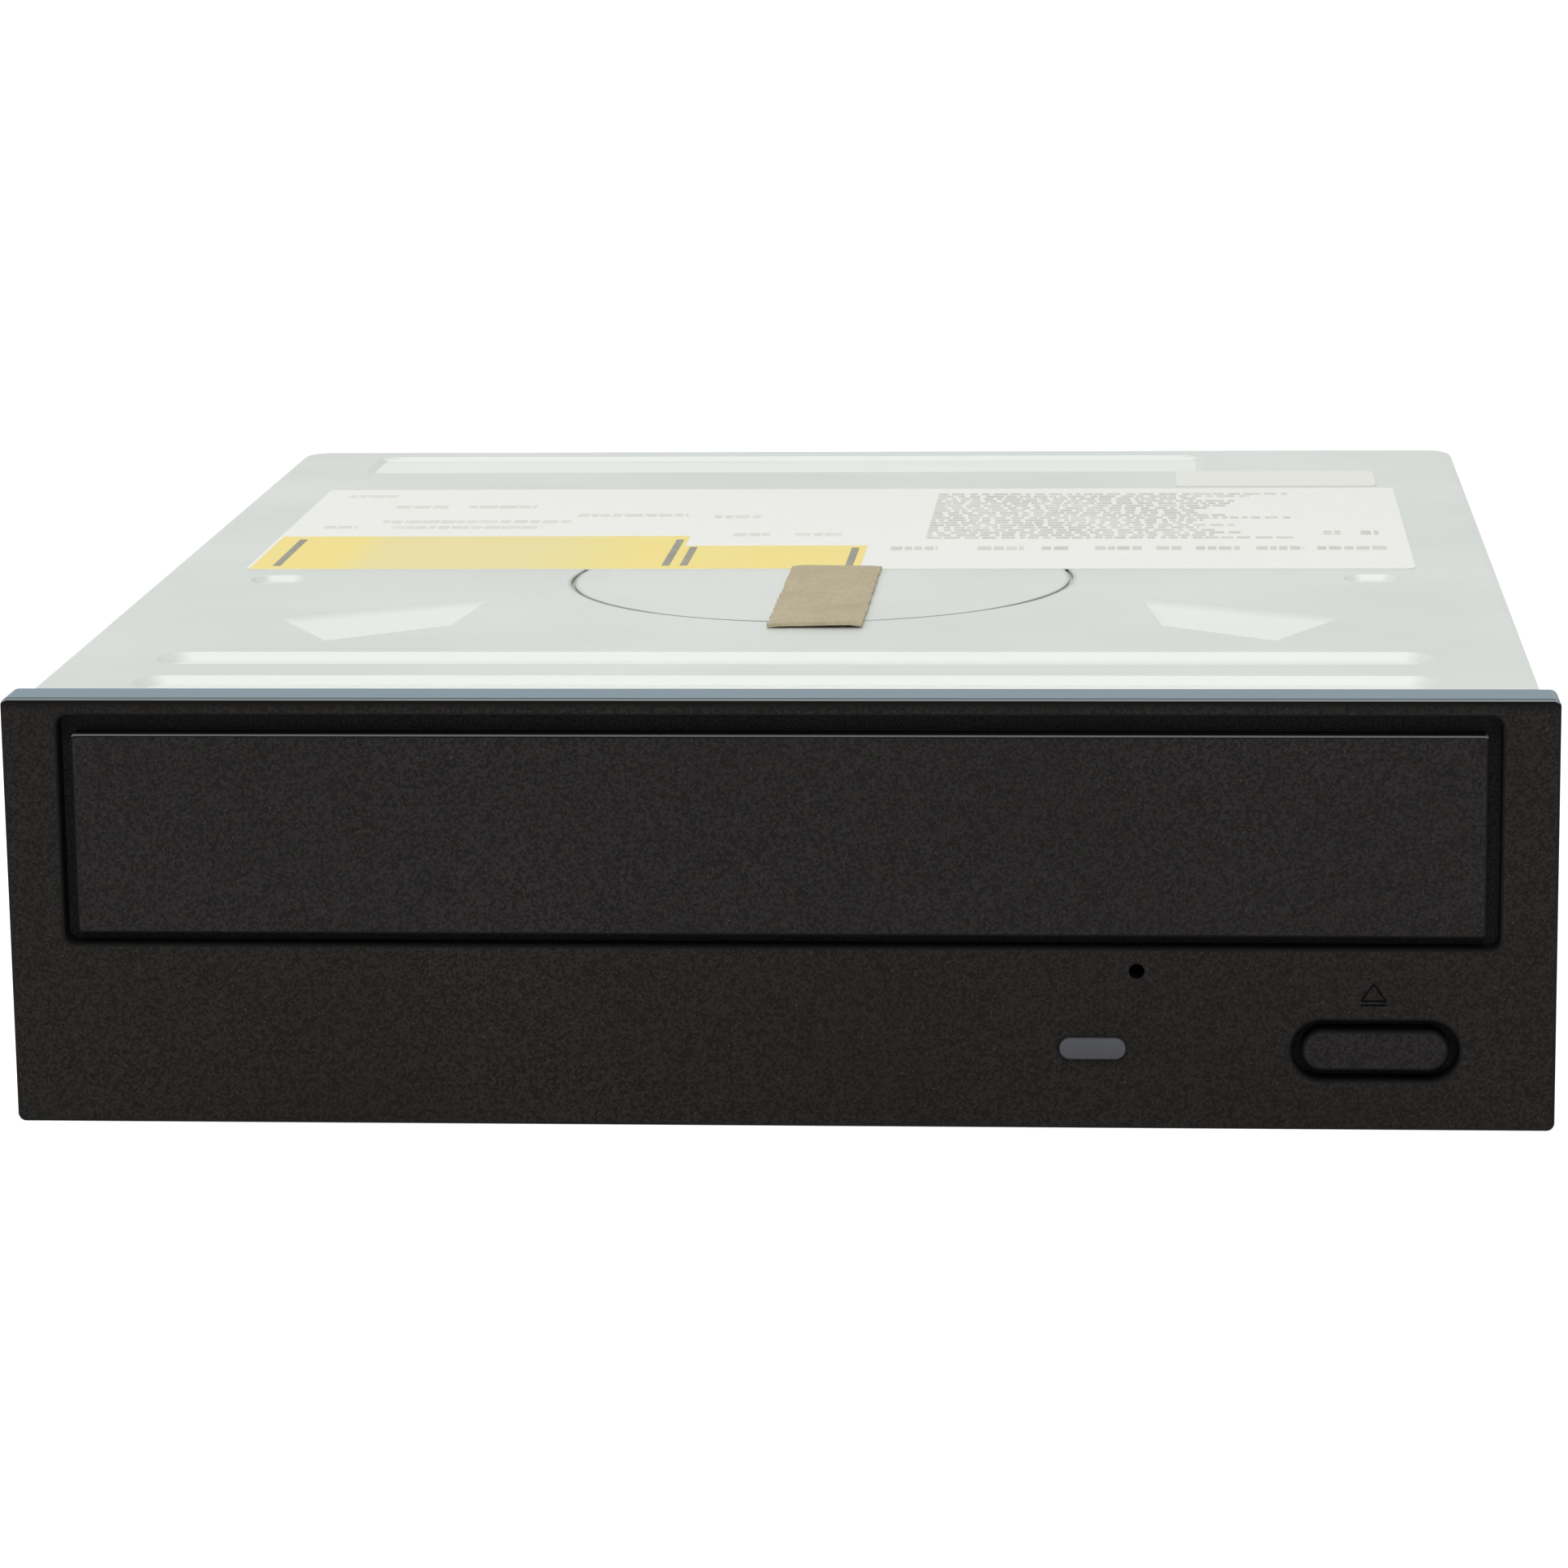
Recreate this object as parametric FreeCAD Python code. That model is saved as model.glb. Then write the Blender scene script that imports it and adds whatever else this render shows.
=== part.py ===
import FreeCAD
import Part
import math
import os

# A half-height internal disc writer with a motor-driven tray.
# +X is right seen from the front, the front faces -Y, +Z is up, sizes are millimetres.
# The origin lies under the middle of the drive, level with the bezel's lower edge.

# Overall sizes
bezel_overhang = 1.3
bezel_height = 42.0
bezel_depth = 5.0
body_width = 146.0
body_height = 41.3
body_length = 165.0
sheet = 0.8
case_corner = 3.5
case_fold = 1.0
corner_share = 0.9

# Clearances
running_fit = 0.05
slide_gap = 0.1
free_gap = 0.3
case_play = 0.2
belt_gap = 0.15

# Planes that follow from the overall sizes
front = -(bezel_depth + body_length) / 2
body_front = front + bezel_depth
back = body_front + body_length
base = (bezel_height - body_height) / 2
top = base + body_height
floor = base + sheet
ceiling = top - sheet
side = body_width / 2
bezel_half = side + bezel_overhang
inner_side = side - sheet
inner_back = back - sheet

# Mounting holes: tapped M3 in drawn collars
mount_radius = 1.25
mount_behind_bezel = 47.4
mount_pitch = 79.25
mount_across = 139.7
side_mount_low = 10.0
side_mount_high = 21.84
collar_wall = 1.0
collar_height = 1.2
collar_room = 0.8
mount_screw_reach = 6.0

# Pressed forms of the top cover
spindle_from_front = 66.0
spindle_y = body_front + spindle_from_front
ring_radius = 27.0
ring_width = 0.4
ring_depth = 0.3
groove_from_side = 9.5
groove_half_length = side - groove_from_side
groove_width = 6.8
groove_depth = 0.8
groove_round_share = 0.45
press_wall_share = 0.8
grooves_from_front = (5.4, 18.3)
groove_places = [body_front + distance for distance in grooves_from_front]
press_slope = 0.7
pocket_corners = ((17.2, -23.5), (24.8, -38.0), (36.5, -29.0), (38.5, -12.0))
pocket_rim = [(side - inset, spindle_y + along) for inset, along in pocket_corners]
pocket_depth = 0.8
pocket_run = 6.0
pocket_slope = 0.9
dimple_from_left = 13.5
dimple_from_right = 13.7
dimple_places = (-side + dimple_from_left, side - dimple_from_right)
dimple_length = 6.0
dimple_width = 5.2
dimple_depth = 0.6
dimple_round_share = 0.4
step_from_left = 10.4
step_left = -side + step_from_left
step_from_right = 31.5
step_right = side - step_from_right
step_from_back = 5.0
step_length = 14.0
step_back = back - step_from_back
step_front = step_back - step_length
step_depth = 0.5

# Label, sticker and tape on the cover
paper = 0.12
label_from_side = 8.7
label_half_width = side - label_from_side
label_behind_spindle = 6.0
label_front = spindle_y + label_behind_spindle
label_from_back = 34.0
label_back = back - label_from_back
sticker_from_side = 10.6
sticker_width = 24.1
sticker_gap = 2.0
sticker_right = side - sticker_from_side
sticker_left = sticker_right - sticker_width
sticker_front = label_back + sticker_gap
tape_left = -3.6
tape_right = 6.1
tape_length = 36.8
tape_front = label_front - tape_length
tape_thick = 0.7

# Screws that close the case
screw_head_radius = 2.7
screw_head_height = 1.5
screw_shank_radius = 1.15
screw_hole_radius = 1.6
cup_depth = 1.8
cup_radius = 3.6
cup_slope = 1.2
tab_width = 8.0
boss_radius = 4.0
front_boss_from_side = 9.0
front_boss_x = side - front_boss_from_side
front_boss_from_front = 30.0
front_boss_y = body_front + front_boss_from_front
back_boss_from_side = 8.0
back_boss_x = side - back_boss_from_side
back_boss_inset = 6.2
screw_reach = 5.0
large_cross = (1.4, 0.5)
medium_cross = (1.2, 0.4)
small_cross = (0.9, 0.35)
floor_press_depth = 0.6
floor_wall_share = 0.6
floor_press_edge = 14.0

# Tray
tray_under = 24.0
tray_floor = 1.6
tray_rim = 1.6
tray_half_width = 64.5
tray_back_room = 6.2
tray_back = inner_back - tray_back_room
well_radius = 61.0
small_well_radius = 41.0
small_well_depth = 0.7
slot_half_width = 25.0
slot_before_spindle = 20.0
slot_front = spindle_y - slot_before_spindle
slot_from_back = 18.0
slot_back = tray_back - slot_from_back
bar_lift = 2.5
bar_thick = 1.4
scoop_radius = 9.0
tray_wall = 2.0
tray_wall_room = 4.4
tray_wall_top = 35.0
holder_length = 5.0
holder_width = 3.0
holder_height = 0.9
holder_turns = (38, 142, 218, 322)
door_edge = 0.3

# Rack and loading train
rack_module = 1.0
rack_pitch_x = -50.0
rack_back = 3.25
rack_height = 3.7
rack_from_front = 4.0
rack_front_y = body_front + rack_from_front
rack_end_inset = 2.0
rack_gear_teeth = 18
loading_from_front = 16.0
loading_y = body_front + loading_from_front
train_module = 0.6
wheel_teeth = 44
pinion_teeth = 12
train_angle = 10.0
tooth_play = 0.12
pressure_angle = 20.0
tooth_root = 1.25
tooth_foot = 0.85
flank_steps = 4
pinion_hub_share = 0.75
wheel_height = 1.8
pulley_height = 2.4
pulley_radius = 11.2
pulley_groove = 1.0
motor_pulley_radius = 3.9
loading_post_radius = 2.0
pulley_post_radius = 1.5
hub_radius = 4.0
belt_size = 1.2
motor_x = 10.0
motor_y = loading_y
motor_radius = 10.0
motor_height = 10.8
motor_collar = 3.0
motor_shaft_radius = 1.0
motor_shaft_depth = 4.5
motor_screw_offset = 7.0
motor_screw_radius = 0.9
motor_screw_head = 1.6
motor_screw_head_height = 0.9

# Main frame
frame_wall = 3.0
frame_top = 34.0
deck_level = 14.4
deck_thick = 1.8
deck_length = 36.0
deck_back = body_front + deck_length
rail_ledge = 7.0
rail_ledge_thick = 2.4
rail_guide_top = 27.4
rail_tab_thick = 2.0
rail_tab_gap = 0.4
rail_tab_depth = 6.5
rail_tab_length = 9.0
stop_bar_depth = 4.3
stop_bar_low = 20.0
stop_bar_top = 30.0

# Clamp bridge and clamper
bridge_level = 30.0
bridge_sheet = 1.0
bridge_reach = 20.0
bridge_front = spindle_y - bridge_reach
bridge_back = spindle_y + bridge_reach
bridge_hole = 13.0
bridge_flange = 3.0
bridge_screw_radius = 1.0
bridge_screw_head = 2.1
bridge_screw_head_height = 1.2
bridge_screw_inset = 3.0
bridge_screw_from_edge = 4.0
clamper_low = 28.3
clamper_flange_radius = 15.5
clamper_flange = 1.3
clamper_recess_radius = 8.4
clamper_recess = 2.0
clamper_cap_radius = 9.6
clamper_cap = 1.0
yoke_radius = 7.0
yoke_thick = 0.8

# Turntable and spindle motor
disc_plane = 27.5
rubber_thick = 0.6
rubber_radius = 14.6
rubber_inner = 11.4
turntable_radius = 15.0
turntable_thick = 1.7
hub_cone_radius = 7.45
hub_cone_top = 6.2
hub_cone_height = 1.8
rotor_radius = 13.5
rotor_wall = 1.0
spindle_shaft_radius = 1.5
spindle_plate_radius = 16.4
spindle_plate = 0.8
spindle_tube_radius = 3.2
spindle_tube_drop = 3.4
stator_radius = 11.6
stator_inner = 5.0
stator_height = 2.6
stator_poles = 12
stator_pole_half_width = 0.9

# Lift frame
lift_low = 13.0
lift_thick = 3.0
lift_half_width = 50.0
lift_rail = 12.0
lift_behind_deck = 5.0
lift_front = deck_back + lift_behind_deck
lift_behind_pivot = 10.5
lift_front_bar = 7.0
lift_back_bar = 5.0
pivot_from_tray_back = 22.0
pivot_y = tray_back - pivot_from_tray_back
lift_back = pivot_y + lift_behind_pivot
trunnion_radius = 1.8
trunnion_arm = 8.0
lift_angle = 5.5
cam_pin_x = 24.0
cam_pin_radius = 1.5
cam_pin_length = 3.9
damper_x = 44.0
damper_from_front = 3.5
damper_front_y = lift_front + damper_from_front
damper_from_back = 3.0
damper_back_y = lift_back - damper_from_back
damper_radius = 3.6
damper_neck = 2.4
damper_foot = 2.6
damper_cap = 1.1
damper_screw_radius = 1.2
damper_screw_head = 2.6
damper_screw_head_height = 1.1

# Cam slider
slider_travel = 14.0
slider_left = -40.0
slider_right = 44.0
slider_wall = 2.0
slider_gap = 0.6
slider_flange = 5.4
slider_flange_thick = 1.5
slider_web = 1.2
slot_play = 0.2
slider_tooth_shares = (0.25, 0.45, 0.7)
slider_rack_left = -35.0
slider_rack_right = -16.0
slider_rack_reach = 5.0
slider_rack_y = deck_back - slider_rack_reach
slider_rack_depth = 2.6
slider_rack_height = 3.0
lug_left = 28.0
lug_right = 38.0
lug_reach = 9.2
lug_height = 2.4
hook_places = (-9.0, 8.0)
hook_width = 6.0

# Traverse plate, rods, sled and lead screw
traverse_sheet = 1.2
traverse_half_width = 47.6
traverse_open_left = -29.0
traverse_open_right = 35.0
traverse_open_gap = 0.8
traverse_open_from_back = 9.7
traverse_open_back = lift_back - traverse_open_from_back
rod_x = 25.0
rod_radius = 1.5
rod_behind_spindle = 5.0
rod_front = spindle_y + rod_behind_spindle
rod_from_back = 6.0
rod_back = lift_back - rod_from_back
rod_below_plate = 1.7
clip_half_width = 3.0
clip_length = 3.5
lens_rest_radius = 24.0
lens_rest_y = spindle_y + lens_rest_radius
sled_half_width = 20.0
sled_before_lens = 14.0
sled_behind_lens = 11.0
sled_front = lens_rest_y - sled_before_lens
sled_back = lens_rest_y + sled_behind_lens
sled_low = 16.2
sled_top = 23.5
bearing_reach = 3.5
bearing_length = 6.0
actuator_half_width = 13.0
actuator_before_lens = 5.8
actuator_front = lens_rest_y - actuator_before_lens
actuator_behind_lens = 7.5
actuator_back = lens_rest_y + actuator_behind_lens
actuator_floor = 19.0
pickup_cover_sheet = 0.5
laser_radius = 2.8
laser_length = 3.0
screw_x = 31.0
lead_screw_radius = 1.5
lead_screw_from_back = 8.5
lead_screw_end = lift_back - lead_screw_from_back
nut_half_width = 2.3
nut_length = 5.0
nut_depth = 2.0
sled_motor_radius = 6.0
sled_motor_length = 10.6
sled_motor_behind_front = 8.2
sled_motor_front = lift_front + sled_motor_behind_front
bracket_sheet = 0.8
bracket_drop = 4.8
holder_half_width = 9.0
holder_half_length = 5.0
holder_low = 21.0
holder_top = 25.0
lens_radius = 2.3
lens_height = 1.0
dome_share = 0.6

# Bezel, door, button and lamp
bezel_corner = 0.8
bezel_edge = 0.35
door_from_side = 6.7
door_half = bezel_half - door_from_side
door_low = 18.9
door_high = 38.5
door_thick = 1.9
door_corner = 0.5
door_gap_side = 1.25
door_gap_low = 1.06
door_gap_high = 1.75
moat_corner = 1.0
moat_edge = 0.35
opening_inside_door = 1.2
bezel_open_half = door_half - opening_inside_door
tray_wall_half = bezel_open_half - tray_wall_room
bezel_open_low = 19.3
bezel_open_high = 37.0
bezel_wall = 2.4
bezel_rim = 2.0
bezel_shelf = 1.4
clip_low = 18.0
clip_high = 26.0
clip_thick = 1.7
clip_reach = 8.0
clip_bump_front = 2.7
clip_bump_back = 5.0
button_x = 57.2
button_z = 7.85
button_width = 13.9
button_height = 3.95
button_moat_width = 15.9
button_moat_height = 5.8
button_flange = 1.2
button_flange_depth = 1.0
button_travel = 0.8
button_edge = 0.35
button_stem_width = 4.5
button_stem_height = 3.0
plunger_radius = 1.7
plunger_out = 1.25
plunger_in = 0.5
plunger_travel = 0.25
plunger_spare = 0.1
switch_width = 6.0
switch_depth = 4.0
switch_height = 6.0
lamp_x = 30.3
lamp_z = 8.0
pill_width = 6.4
pill_height = 2.1
pill_out = 0.5
pill_edge = 0.25
round_end_share = 0.49
pipe_flange = 1.6
pipe_flange_depth = 1.5
lamp_radius = 1.5
lamp_length = 4.2
pinhole_x = 34.5
pinhole_z = 15.56
pinhole_radius = 0.75
mark_x = 57.0
mark_base_z = 12.75
mark_half_width = 1.2
mark_height = 1.7
mark_bar_drop = 0.4
mark_line = 0.22
mark_depth = 0.3

# Boards and what they carry
board_thick = 1.6
main_board_low = 5.0
main_board_from_side = 5.0
main_board_half = side - main_board_from_side
main_board_reach = 77.0
main_board_front = back - main_board_reach
main_board_back_gap = 0.7
board_ledge = 3.0
board_ledge_height = 2.4
board_boss_radius = 3.5
board_boss_height = 4.4
board_boss_from_side = 8.0
board_boss_x = side - board_boss_from_side
board_boss_from_front = 6.0
board_boss_from_back = 19.0
board_boss_places = (main_board_front + board_boss_from_front, back - board_boss_from_back)
board_screw_radius = 1.1
board_screw_head = 2.4
board_screw_head_height = 1.3
front_board_low = 3.3
front_board_left = 22.0
front_board_from_side = 5.0
front_board_right = side - front_board_from_side
front_board_from_front = 3.2
front_board_length = 20.8
front_board_front = body_front + front_board_from_front
front_board_back = front_board_front + front_board_length
front_post_radius = 2.5
front_post_inset = 4.0
front_post_from_side = 11.0
front_post_places = (front_board_left + front_post_inset, side - front_post_from_side)
front_post_from_back = 3.0
front_post_y = front_board_back - front_post_from_back
chip_thick = 1.4
chip_edge = 0.2
controller_place = (8.0, main_board_front + 26.0)
controller_size = (28.0, 20.0)
driver_place = (-38.0, main_board_front + 18.0)
driver_size = (14.0, 17.0)
memory_place = (42.0, main_board_front + 26.0)
memory_size = (9.0, 21.0)
flash_place = (40.0, main_board_front + 50.0)
flash_size = (12.0, 14.0)
capacitor_from_side = 15.5
capacitor_x = side - capacitor_from_side
capacitor_rows = ((1, 14.0), (1, 23.0), (-1, 16.0), (-1, 28.0))
capacitor_radius = 3.15
capacitor_height = 5.4
crystal_left = -26.0
crystal_from_front = 40.0
crystal_front = main_board_front + crystal_from_front
crystal_length = 11.0
crystal_width = 4.6
crystal_height = 2.4
socket_depth = 5.0
socket_height = 2.0
socket_left = -12.0
socket_width = 22.0
small_socket_left = 20.0
small_socket_width = 13.0
cable_left = 46.0
cable_width = 10.0
cable_thick = 0.3

# Connectors at the back
window_half = 60.0
window_top = 18.0
power_x = -45.5
power_width = 22.4
power_height = 9.6
power_depth = 15.0
power_wall = 1.3
power_pin_pitch = 5.08
power_pin_radius = 1.05
power_corner_share = 0.25
shroud_floor_share = 1.5
data_x = -1.0
data_width = 56.0
data_height = 8.9
data_depth = 10.5
data_wall = 1.1
data_pin_pitch = 2.54
data_columns = 20
pin_size = 0.64
jumper_x = 35.2
jumper_columns = 3
jumper_block_height = 5.2
jumper_block_depth = 4.0
cap_length = 6.0
cap_fill_share = 0.47
pin_recess = 4.3
audio_x = 47.0
audio_width = 11.4
digital_x = 56.2
digital_width = 5.6
audio_height = 6.6
audio_depth = 9.0
audio_wall = 0.9
key_width = 4.5


X_AXIS = FreeCAD.Vector(1, 0, 0)
Y_AXIS = FreeCAD.Vector(0, 1, 0)
Z_AXIS = FreeCAD.Vector(0, 0, 1)
ORIGIN = FreeCAD.Vector(0, 0, 0)
HANDS = (-1, 1)
edge_tolerance = 0.0001


def at(x, y, z):
    return FreeCAD.Vector(x, y, z)


def block(x, y, z):
    """A box between three (low, high) pairs."""
    return Part.makeBox(x[1] - x[0], y[1] - y[0], z[1] - z[0], at(x[0], y[0], z[0]))


def around(middle, half):
    return (middle - half, middle + half)


def sided(hand, near, far):
    """A (low, high) pair on the left or right side, from distances to the middle plane."""
    return tuple(sorted((hand * near, hand * far)))


def post(x, y, z, radius):
    return Part.makeCylinder(radius, z[1] - z[0], at(x, y, z[0]))


def pin_along_x(x, y, z, radius):
    return Part.makeCylinder(radius, x[1] - x[0], at(x[0], y, z), X_AXIS)


def pin_along_y(x, y, z, radius):
    return Part.makeCylinder(radius, y[1] - y[0], at(x, y[0], z), Y_AXIS)


def tube(x, y, z, outer, inner):
    return post(x, y, z, outer).cut(post(x, y, z, inner))


def cone(x, y, z, low_radius, high_radius):
    return Part.makeCone(low_radius, high_radius, z[1] - z[0], at(x, y, z[0]))


def merged(shapes):
    whole = shapes[0].fuse(shapes[1:])
    return whole.removeSplitter()


def polygon(points):
    return Part.Wire(Part.makePolygon(points + [points[0]]).Edges)


def slab(outline, z):
    """A flat piece whose outline is a list of (x, y)."""
    face = Part.Face(polygon([at(x, y, z[0]) for x, y in outline]))
    return face.extrude(at(0, 0, z[1] - z[0]))


def slab_facing_front(outline, y):
    """A piece whose outline is a list of (x, z), from y[0] back to y[1]."""
    face = Part.Face(polygon([at(x, y[0], z) for x, z in outline]))
    return face.extrude(at(0, y[1] - y[0], 0))


def slab_facing_side(outline, x):
    """A piece whose outline is a list of (y, z), from x[0] to x[1]."""
    face = Part.Face(polygon([at(x[0], y, z) for y, z in outline]))
    return face.extrude(at(x[1] - x[0], 0, 0))


def on_circle(centre, radius, degrees, z=0.0):
    turn = math.radians(degrees)
    return at(centre[0] + radius * math.cos(turn), centre[1] + radius * math.sin(turn), z)


def rounded_wire(x, y, z, corner):
    """A level rectangle with round corners."""
    corners = (
        (x[1] - corner, y[0] + corner, -90),
        (x[1] - corner, y[1] - corner, 0),
        (x[0] + corner, y[1] - corner, 90),
        (x[0] + corner, y[0] + corner, 180),
    )
    arcs = []
    for corner_x, corner_y, start in corners:
        bend = [on_circle((corner_x, corner_y), corner, start + turn, z) for turn in (0, 45, 90)]
        arcs.append(Part.Arc(*bend).toShape())
    edges = []
    for index, arc in enumerate(arcs):
        following = arcs[(index + 1) % len(arcs)]
        edges.append(arc)
        edges.append(Part.makeLine(arc.Vertexes[-1].Point, following.Vertexes[0].Point))
    return Part.Wire(edges)


def rounded_plate(x, y, z, corner):
    return Part.Face(rounded_wire(x, y, z[0], corner)).extrude(at(0, 0, z[1] - z[0]))


def rounded_front_plate(x, z, y, corner):
    """The same seen from the front: x and z give the outline, y the depth."""
    plate = rounded_plate(x, z, (-y[1], -y[0]), corner)
    plate.rotate(ORIGIN, X_AXIS, 90)
    return plate


def edges_where(shape, test):
    return [edge for edge in shape.Edges if test(edge.BoundBox)]


def near(value, target):
    return abs(value - target) < edge_tolerance


def save(name, shape):
    shape.exportStep(os.path.join("parts", name + ".step"))


def group(shapes):
    return Part.makeCompound(shapes)


# Gears: involute flanks in a few straight runs, thinned by the tooth play

def flank_half_angle(pitch_radius, tooth_angle, radius):
    """Half the angle that a tooth fills at a radius, in radians."""
    pressure = math.radians(pressure_angle)
    base_radius = pitch_radius * math.cos(pressure)
    involute = math.tan(pressure) - pressure
    local = math.acos(min(1.0, base_radius / radius))
    return tooth_angle / 2 + involute - (math.tan(local) - local)


def gear_outline(centre, module, teeth, first_tooth):
    pitch_radius = module * teeth / 2
    root = pitch_radius - tooth_root * module
    tip = pitch_radius + module
    low = max(root, pitch_radius * math.cos(math.radians(pressure_angle)))
    tooth_angle = math.pi / teeth - tooth_play / pitch_radius
    radii = [low + (tip - low) * step / flank_steps for step in range(flank_steps + 1)]
    widths = [flank_half_angle(pitch_radius, tooth_angle, radius) for radius in radii]
    foot = widths[0] * tooth_foot if root < low else widths[0]
    rise = [(root, foot)] + list(zip(radii, widths))
    outline = []
    for tooth in range(teeth):
        middle = math.radians(first_tooth) + 2 * math.pi * tooth / teeth
        flanks = [(radius, middle - half) for radius, half in rise]
        flanks += [(radius, middle + half) for radius, half in reversed(rise)]
        outline += [(centre[0] + r * math.cos(a), centre[1] + r * math.sin(a)) for r, a in flanks]
    return outline


def gear_disc(centre, module, teeth, first_tooth, z):
    return slab(gear_outline(centre, module, teeth, first_tooth), z)


def rack_outline(pitch_x, y, space_y, module, back_x):
    """A toothed strip along Y with its teeth towards +X and a tooth space centred at space_y."""
    pitch = math.pi * module
    half = pitch / 4 - tooth_play / 2
    slope = math.tan(math.radians(pressure_angle))
    tip_x = pitch_x + module
    root_x = pitch_x - tooth_root * module
    first = math.ceil((y[0] + half * 2 - space_y) / pitch - 0.5)
    last = math.floor((y[1] - half * 2 - space_y) / pitch - 0.5)
    outline = [(back_x, y[1]), (back_x, y[0]), (root_x, y[0])]
    for tooth in range(first, last + 1):
        middle = space_y + (tooth + 0.5) * pitch
        foot = half + tooth_root * module * slope
        crest = half - module * slope
        outline += [(root_x, middle - foot), (tip_x, middle - crest)]
        outline += [(tip_x, middle + crest), (root_x, middle + foot)]
    outline.append((root_x, y[1]))
    return outline


# Places shared by several pieces

wall_out = inner_side - case_play
wall_in = wall_out - frame_wall
frame_low = floor + case_play
frame_front = body_front + slide_gap
deck_under = deck_level - deck_thick
cup_top = floor + cup_depth
tab_top = cup_top + sheet
back_boss_y = inner_back - back_boss_inset
mount_rows = [body_front + mount_behind_bezel + step * mount_pitch for step in (0, 1)]
side_mount_levels = [base + side_mount_low, base + side_mount_high]
tray_top = tray_under + tray_floor + tray_rim
tray_front = front + door_thick
plate_front = tray_front + tray_wall
rack_low = tray_under - rack_height
ledge_level = tray_under - slide_gap
loading_centre = (rack_pitch_x + rack_module * rack_gear_teeth / 2, loading_y)
train_reach = train_module * (wheel_teeth + pinion_teeth) / 2
pulley_point = on_circle(loading_centre, train_reach, train_angle)
pulley_centre = (pulley_point.x, pulley_point.y)
wheel_top = rack_low - free_gap
wheel_low = wheel_top - wheel_height
pulley_top = wheel_low - free_gap
pulley_low = pulley_top - pulley_height
hub_low = deck_level + slide_gap
belt_middle = (pulley_low + pulley_top) / 2
bridge_top = bridge_level + bridge_sheet
bridge_half = wall_in - case_play
bridge_screw_x = bridge_half - bridge_screw_inset
bridge_screw_rows = (bridge_front + bridge_screw_from_edge, bridge_back - bridge_screw_from_edge)
lift_top = lift_low + lift_thick
pivot_z = lift_low + lift_thick / 2
trunnion_end = wall_out - case_play
plate_low = lift_top + damper_foot
plate_top = plate_low + traverse_sheet
slider_front = deck_back + slider_gap
slider_back = slider_front + slider_wall
cam_drop = (pivot_y - (slider_front + slider_back) / 2) * math.sin(math.radians(lift_angle))
rotor_top = disc_plane - rubber_thick - turntable_thick
rotor_low = plate_top + spindle_plate + free_gap
rod_z = plate_low - rod_below_plate
traverse_open_front = sled_front - traverse_open_gap
sled_round = spindle_plate_radius + 2 * free_gap
damper_places = [(hand * damper_x, y) for hand in HANDS for y in (damper_front_y, damper_back_y)]
case_screw_places = [(hand * front_boss_x, front_boss_y) for hand in HANDS]
case_screw_places += [(hand * back_boss_x, back_boss_y) for hand in HANDS]
board_screw_places = [(hand * board_boss_x, y) for hand in HANDS for y in board_boss_places]
front_screw_places = [(x, front_post_y) for x in front_post_places]
motor_screw_places = [(motor_x, motor_y + hand * motor_screw_offset) for hand in HANDS]
main_board_top = main_board_low + board_thick
front_board_top = front_board_low + board_thick
main_board_back = inner_back - main_board_back_gap
door_back = front + door_thick
moat_back = door_back + free_gap
wall_back = front + bezel_wall
button_back = wall_back + free_gap + button_flange_depth
switch_front = front_board_front
stem_back = switch_front - plunger_out - (button_travel - plunger_travel) - plunger_spare
lamp_front = body_front + free_gap
connector_low = main_board_top
shroud_back = back


# The case

def pressed(cover, rim_at, sole_at, depth):
    """Sinks a pocket into the top sheet; both outlines are functions of height and growth."""
    shoulder = sheet * press_wall_share
    bulge = Part.makeLoft([rim_at(ceiling, shoulder), sole_at(ceiling - depth, shoulder)], True, True)
    hollow = Part.makeLoft([rim_at(top, 0), sole_at(top - depth, 0)], True, True)
    return cover.fuse(bulge).cut(hollow)


def pressed_rectangle(cover, x, y, corner, depth, slope):
    def outline(z, grow):
        wide = (x[0] - grow, x[1] + grow)
        deep = (y[0] - grow, y[1] + grow)
        return rounded_wire(wide, deep, z, corner + max(grow, 0))

    def sole(z, grow):
        return outline(z, grow - slope)

    return pressed(cover, outline, sole, depth)


def shifted(start, end, distance):
    """The point that lies a distance from start towards end."""
    step = end.sub(start)
    return start.add(step.multiply(distance / step.Length))


def pressed_pocket(cover, hand):
    rim = [at(hand * x, y, 0) for x, y in pocket_rim]
    far_left, near_left, near_right, far_right = rim
    sole = [
        shifted(far_left, near_left, pocket_run),
        shifted(near_left, far_left, pocket_slope),
        shifted(near_right, far_right, pocket_slope),
        shifted(far_right, near_right, pocket_run),
    ]
    middle = at(sum(p.x for p in rim) / 4, sum(p.y for p in rim) / 4, 0)

    def outline(points, z, grow):
        spread = [shifted(p, middle, -grow) if grow else p for p in points]
        return polygon([at(p.x, p.y, z) for p in spread])

    narrowed = [shifted(p, middle, pocket_slope) for p in sole]
    return pressed(cover, lambda z, grow: outline(rim, z, grow),
                   lambda z, grow: outline(narrowed, z, grow), pocket_depth)


def cover_shell():
    outer = block((-side, side), (body_front, back), (floor, top))
    uprights = edges_where(outer, lambda box: near(box.YMin, back) and box.ZLength > sheet)
    outer = outer.makeFillet(case_corner, uprights)
    folds = edges_where(outer, lambda box: near(box.ZMin, top) and box.YMax > body_front + sheet)
    outer = outer.makeFillet(case_fold, folds)
    inner = block((-inner_side, inner_side), (body_front - sheet, inner_back), (base, ceiling))
    uprights = edges_where(inner, lambda box: near(box.YMin, inner_back) and box.ZLength > sheet)
    inner = inner.makeFillet(case_corner - sheet, uprights)
    return outer.cut(inner)


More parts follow.
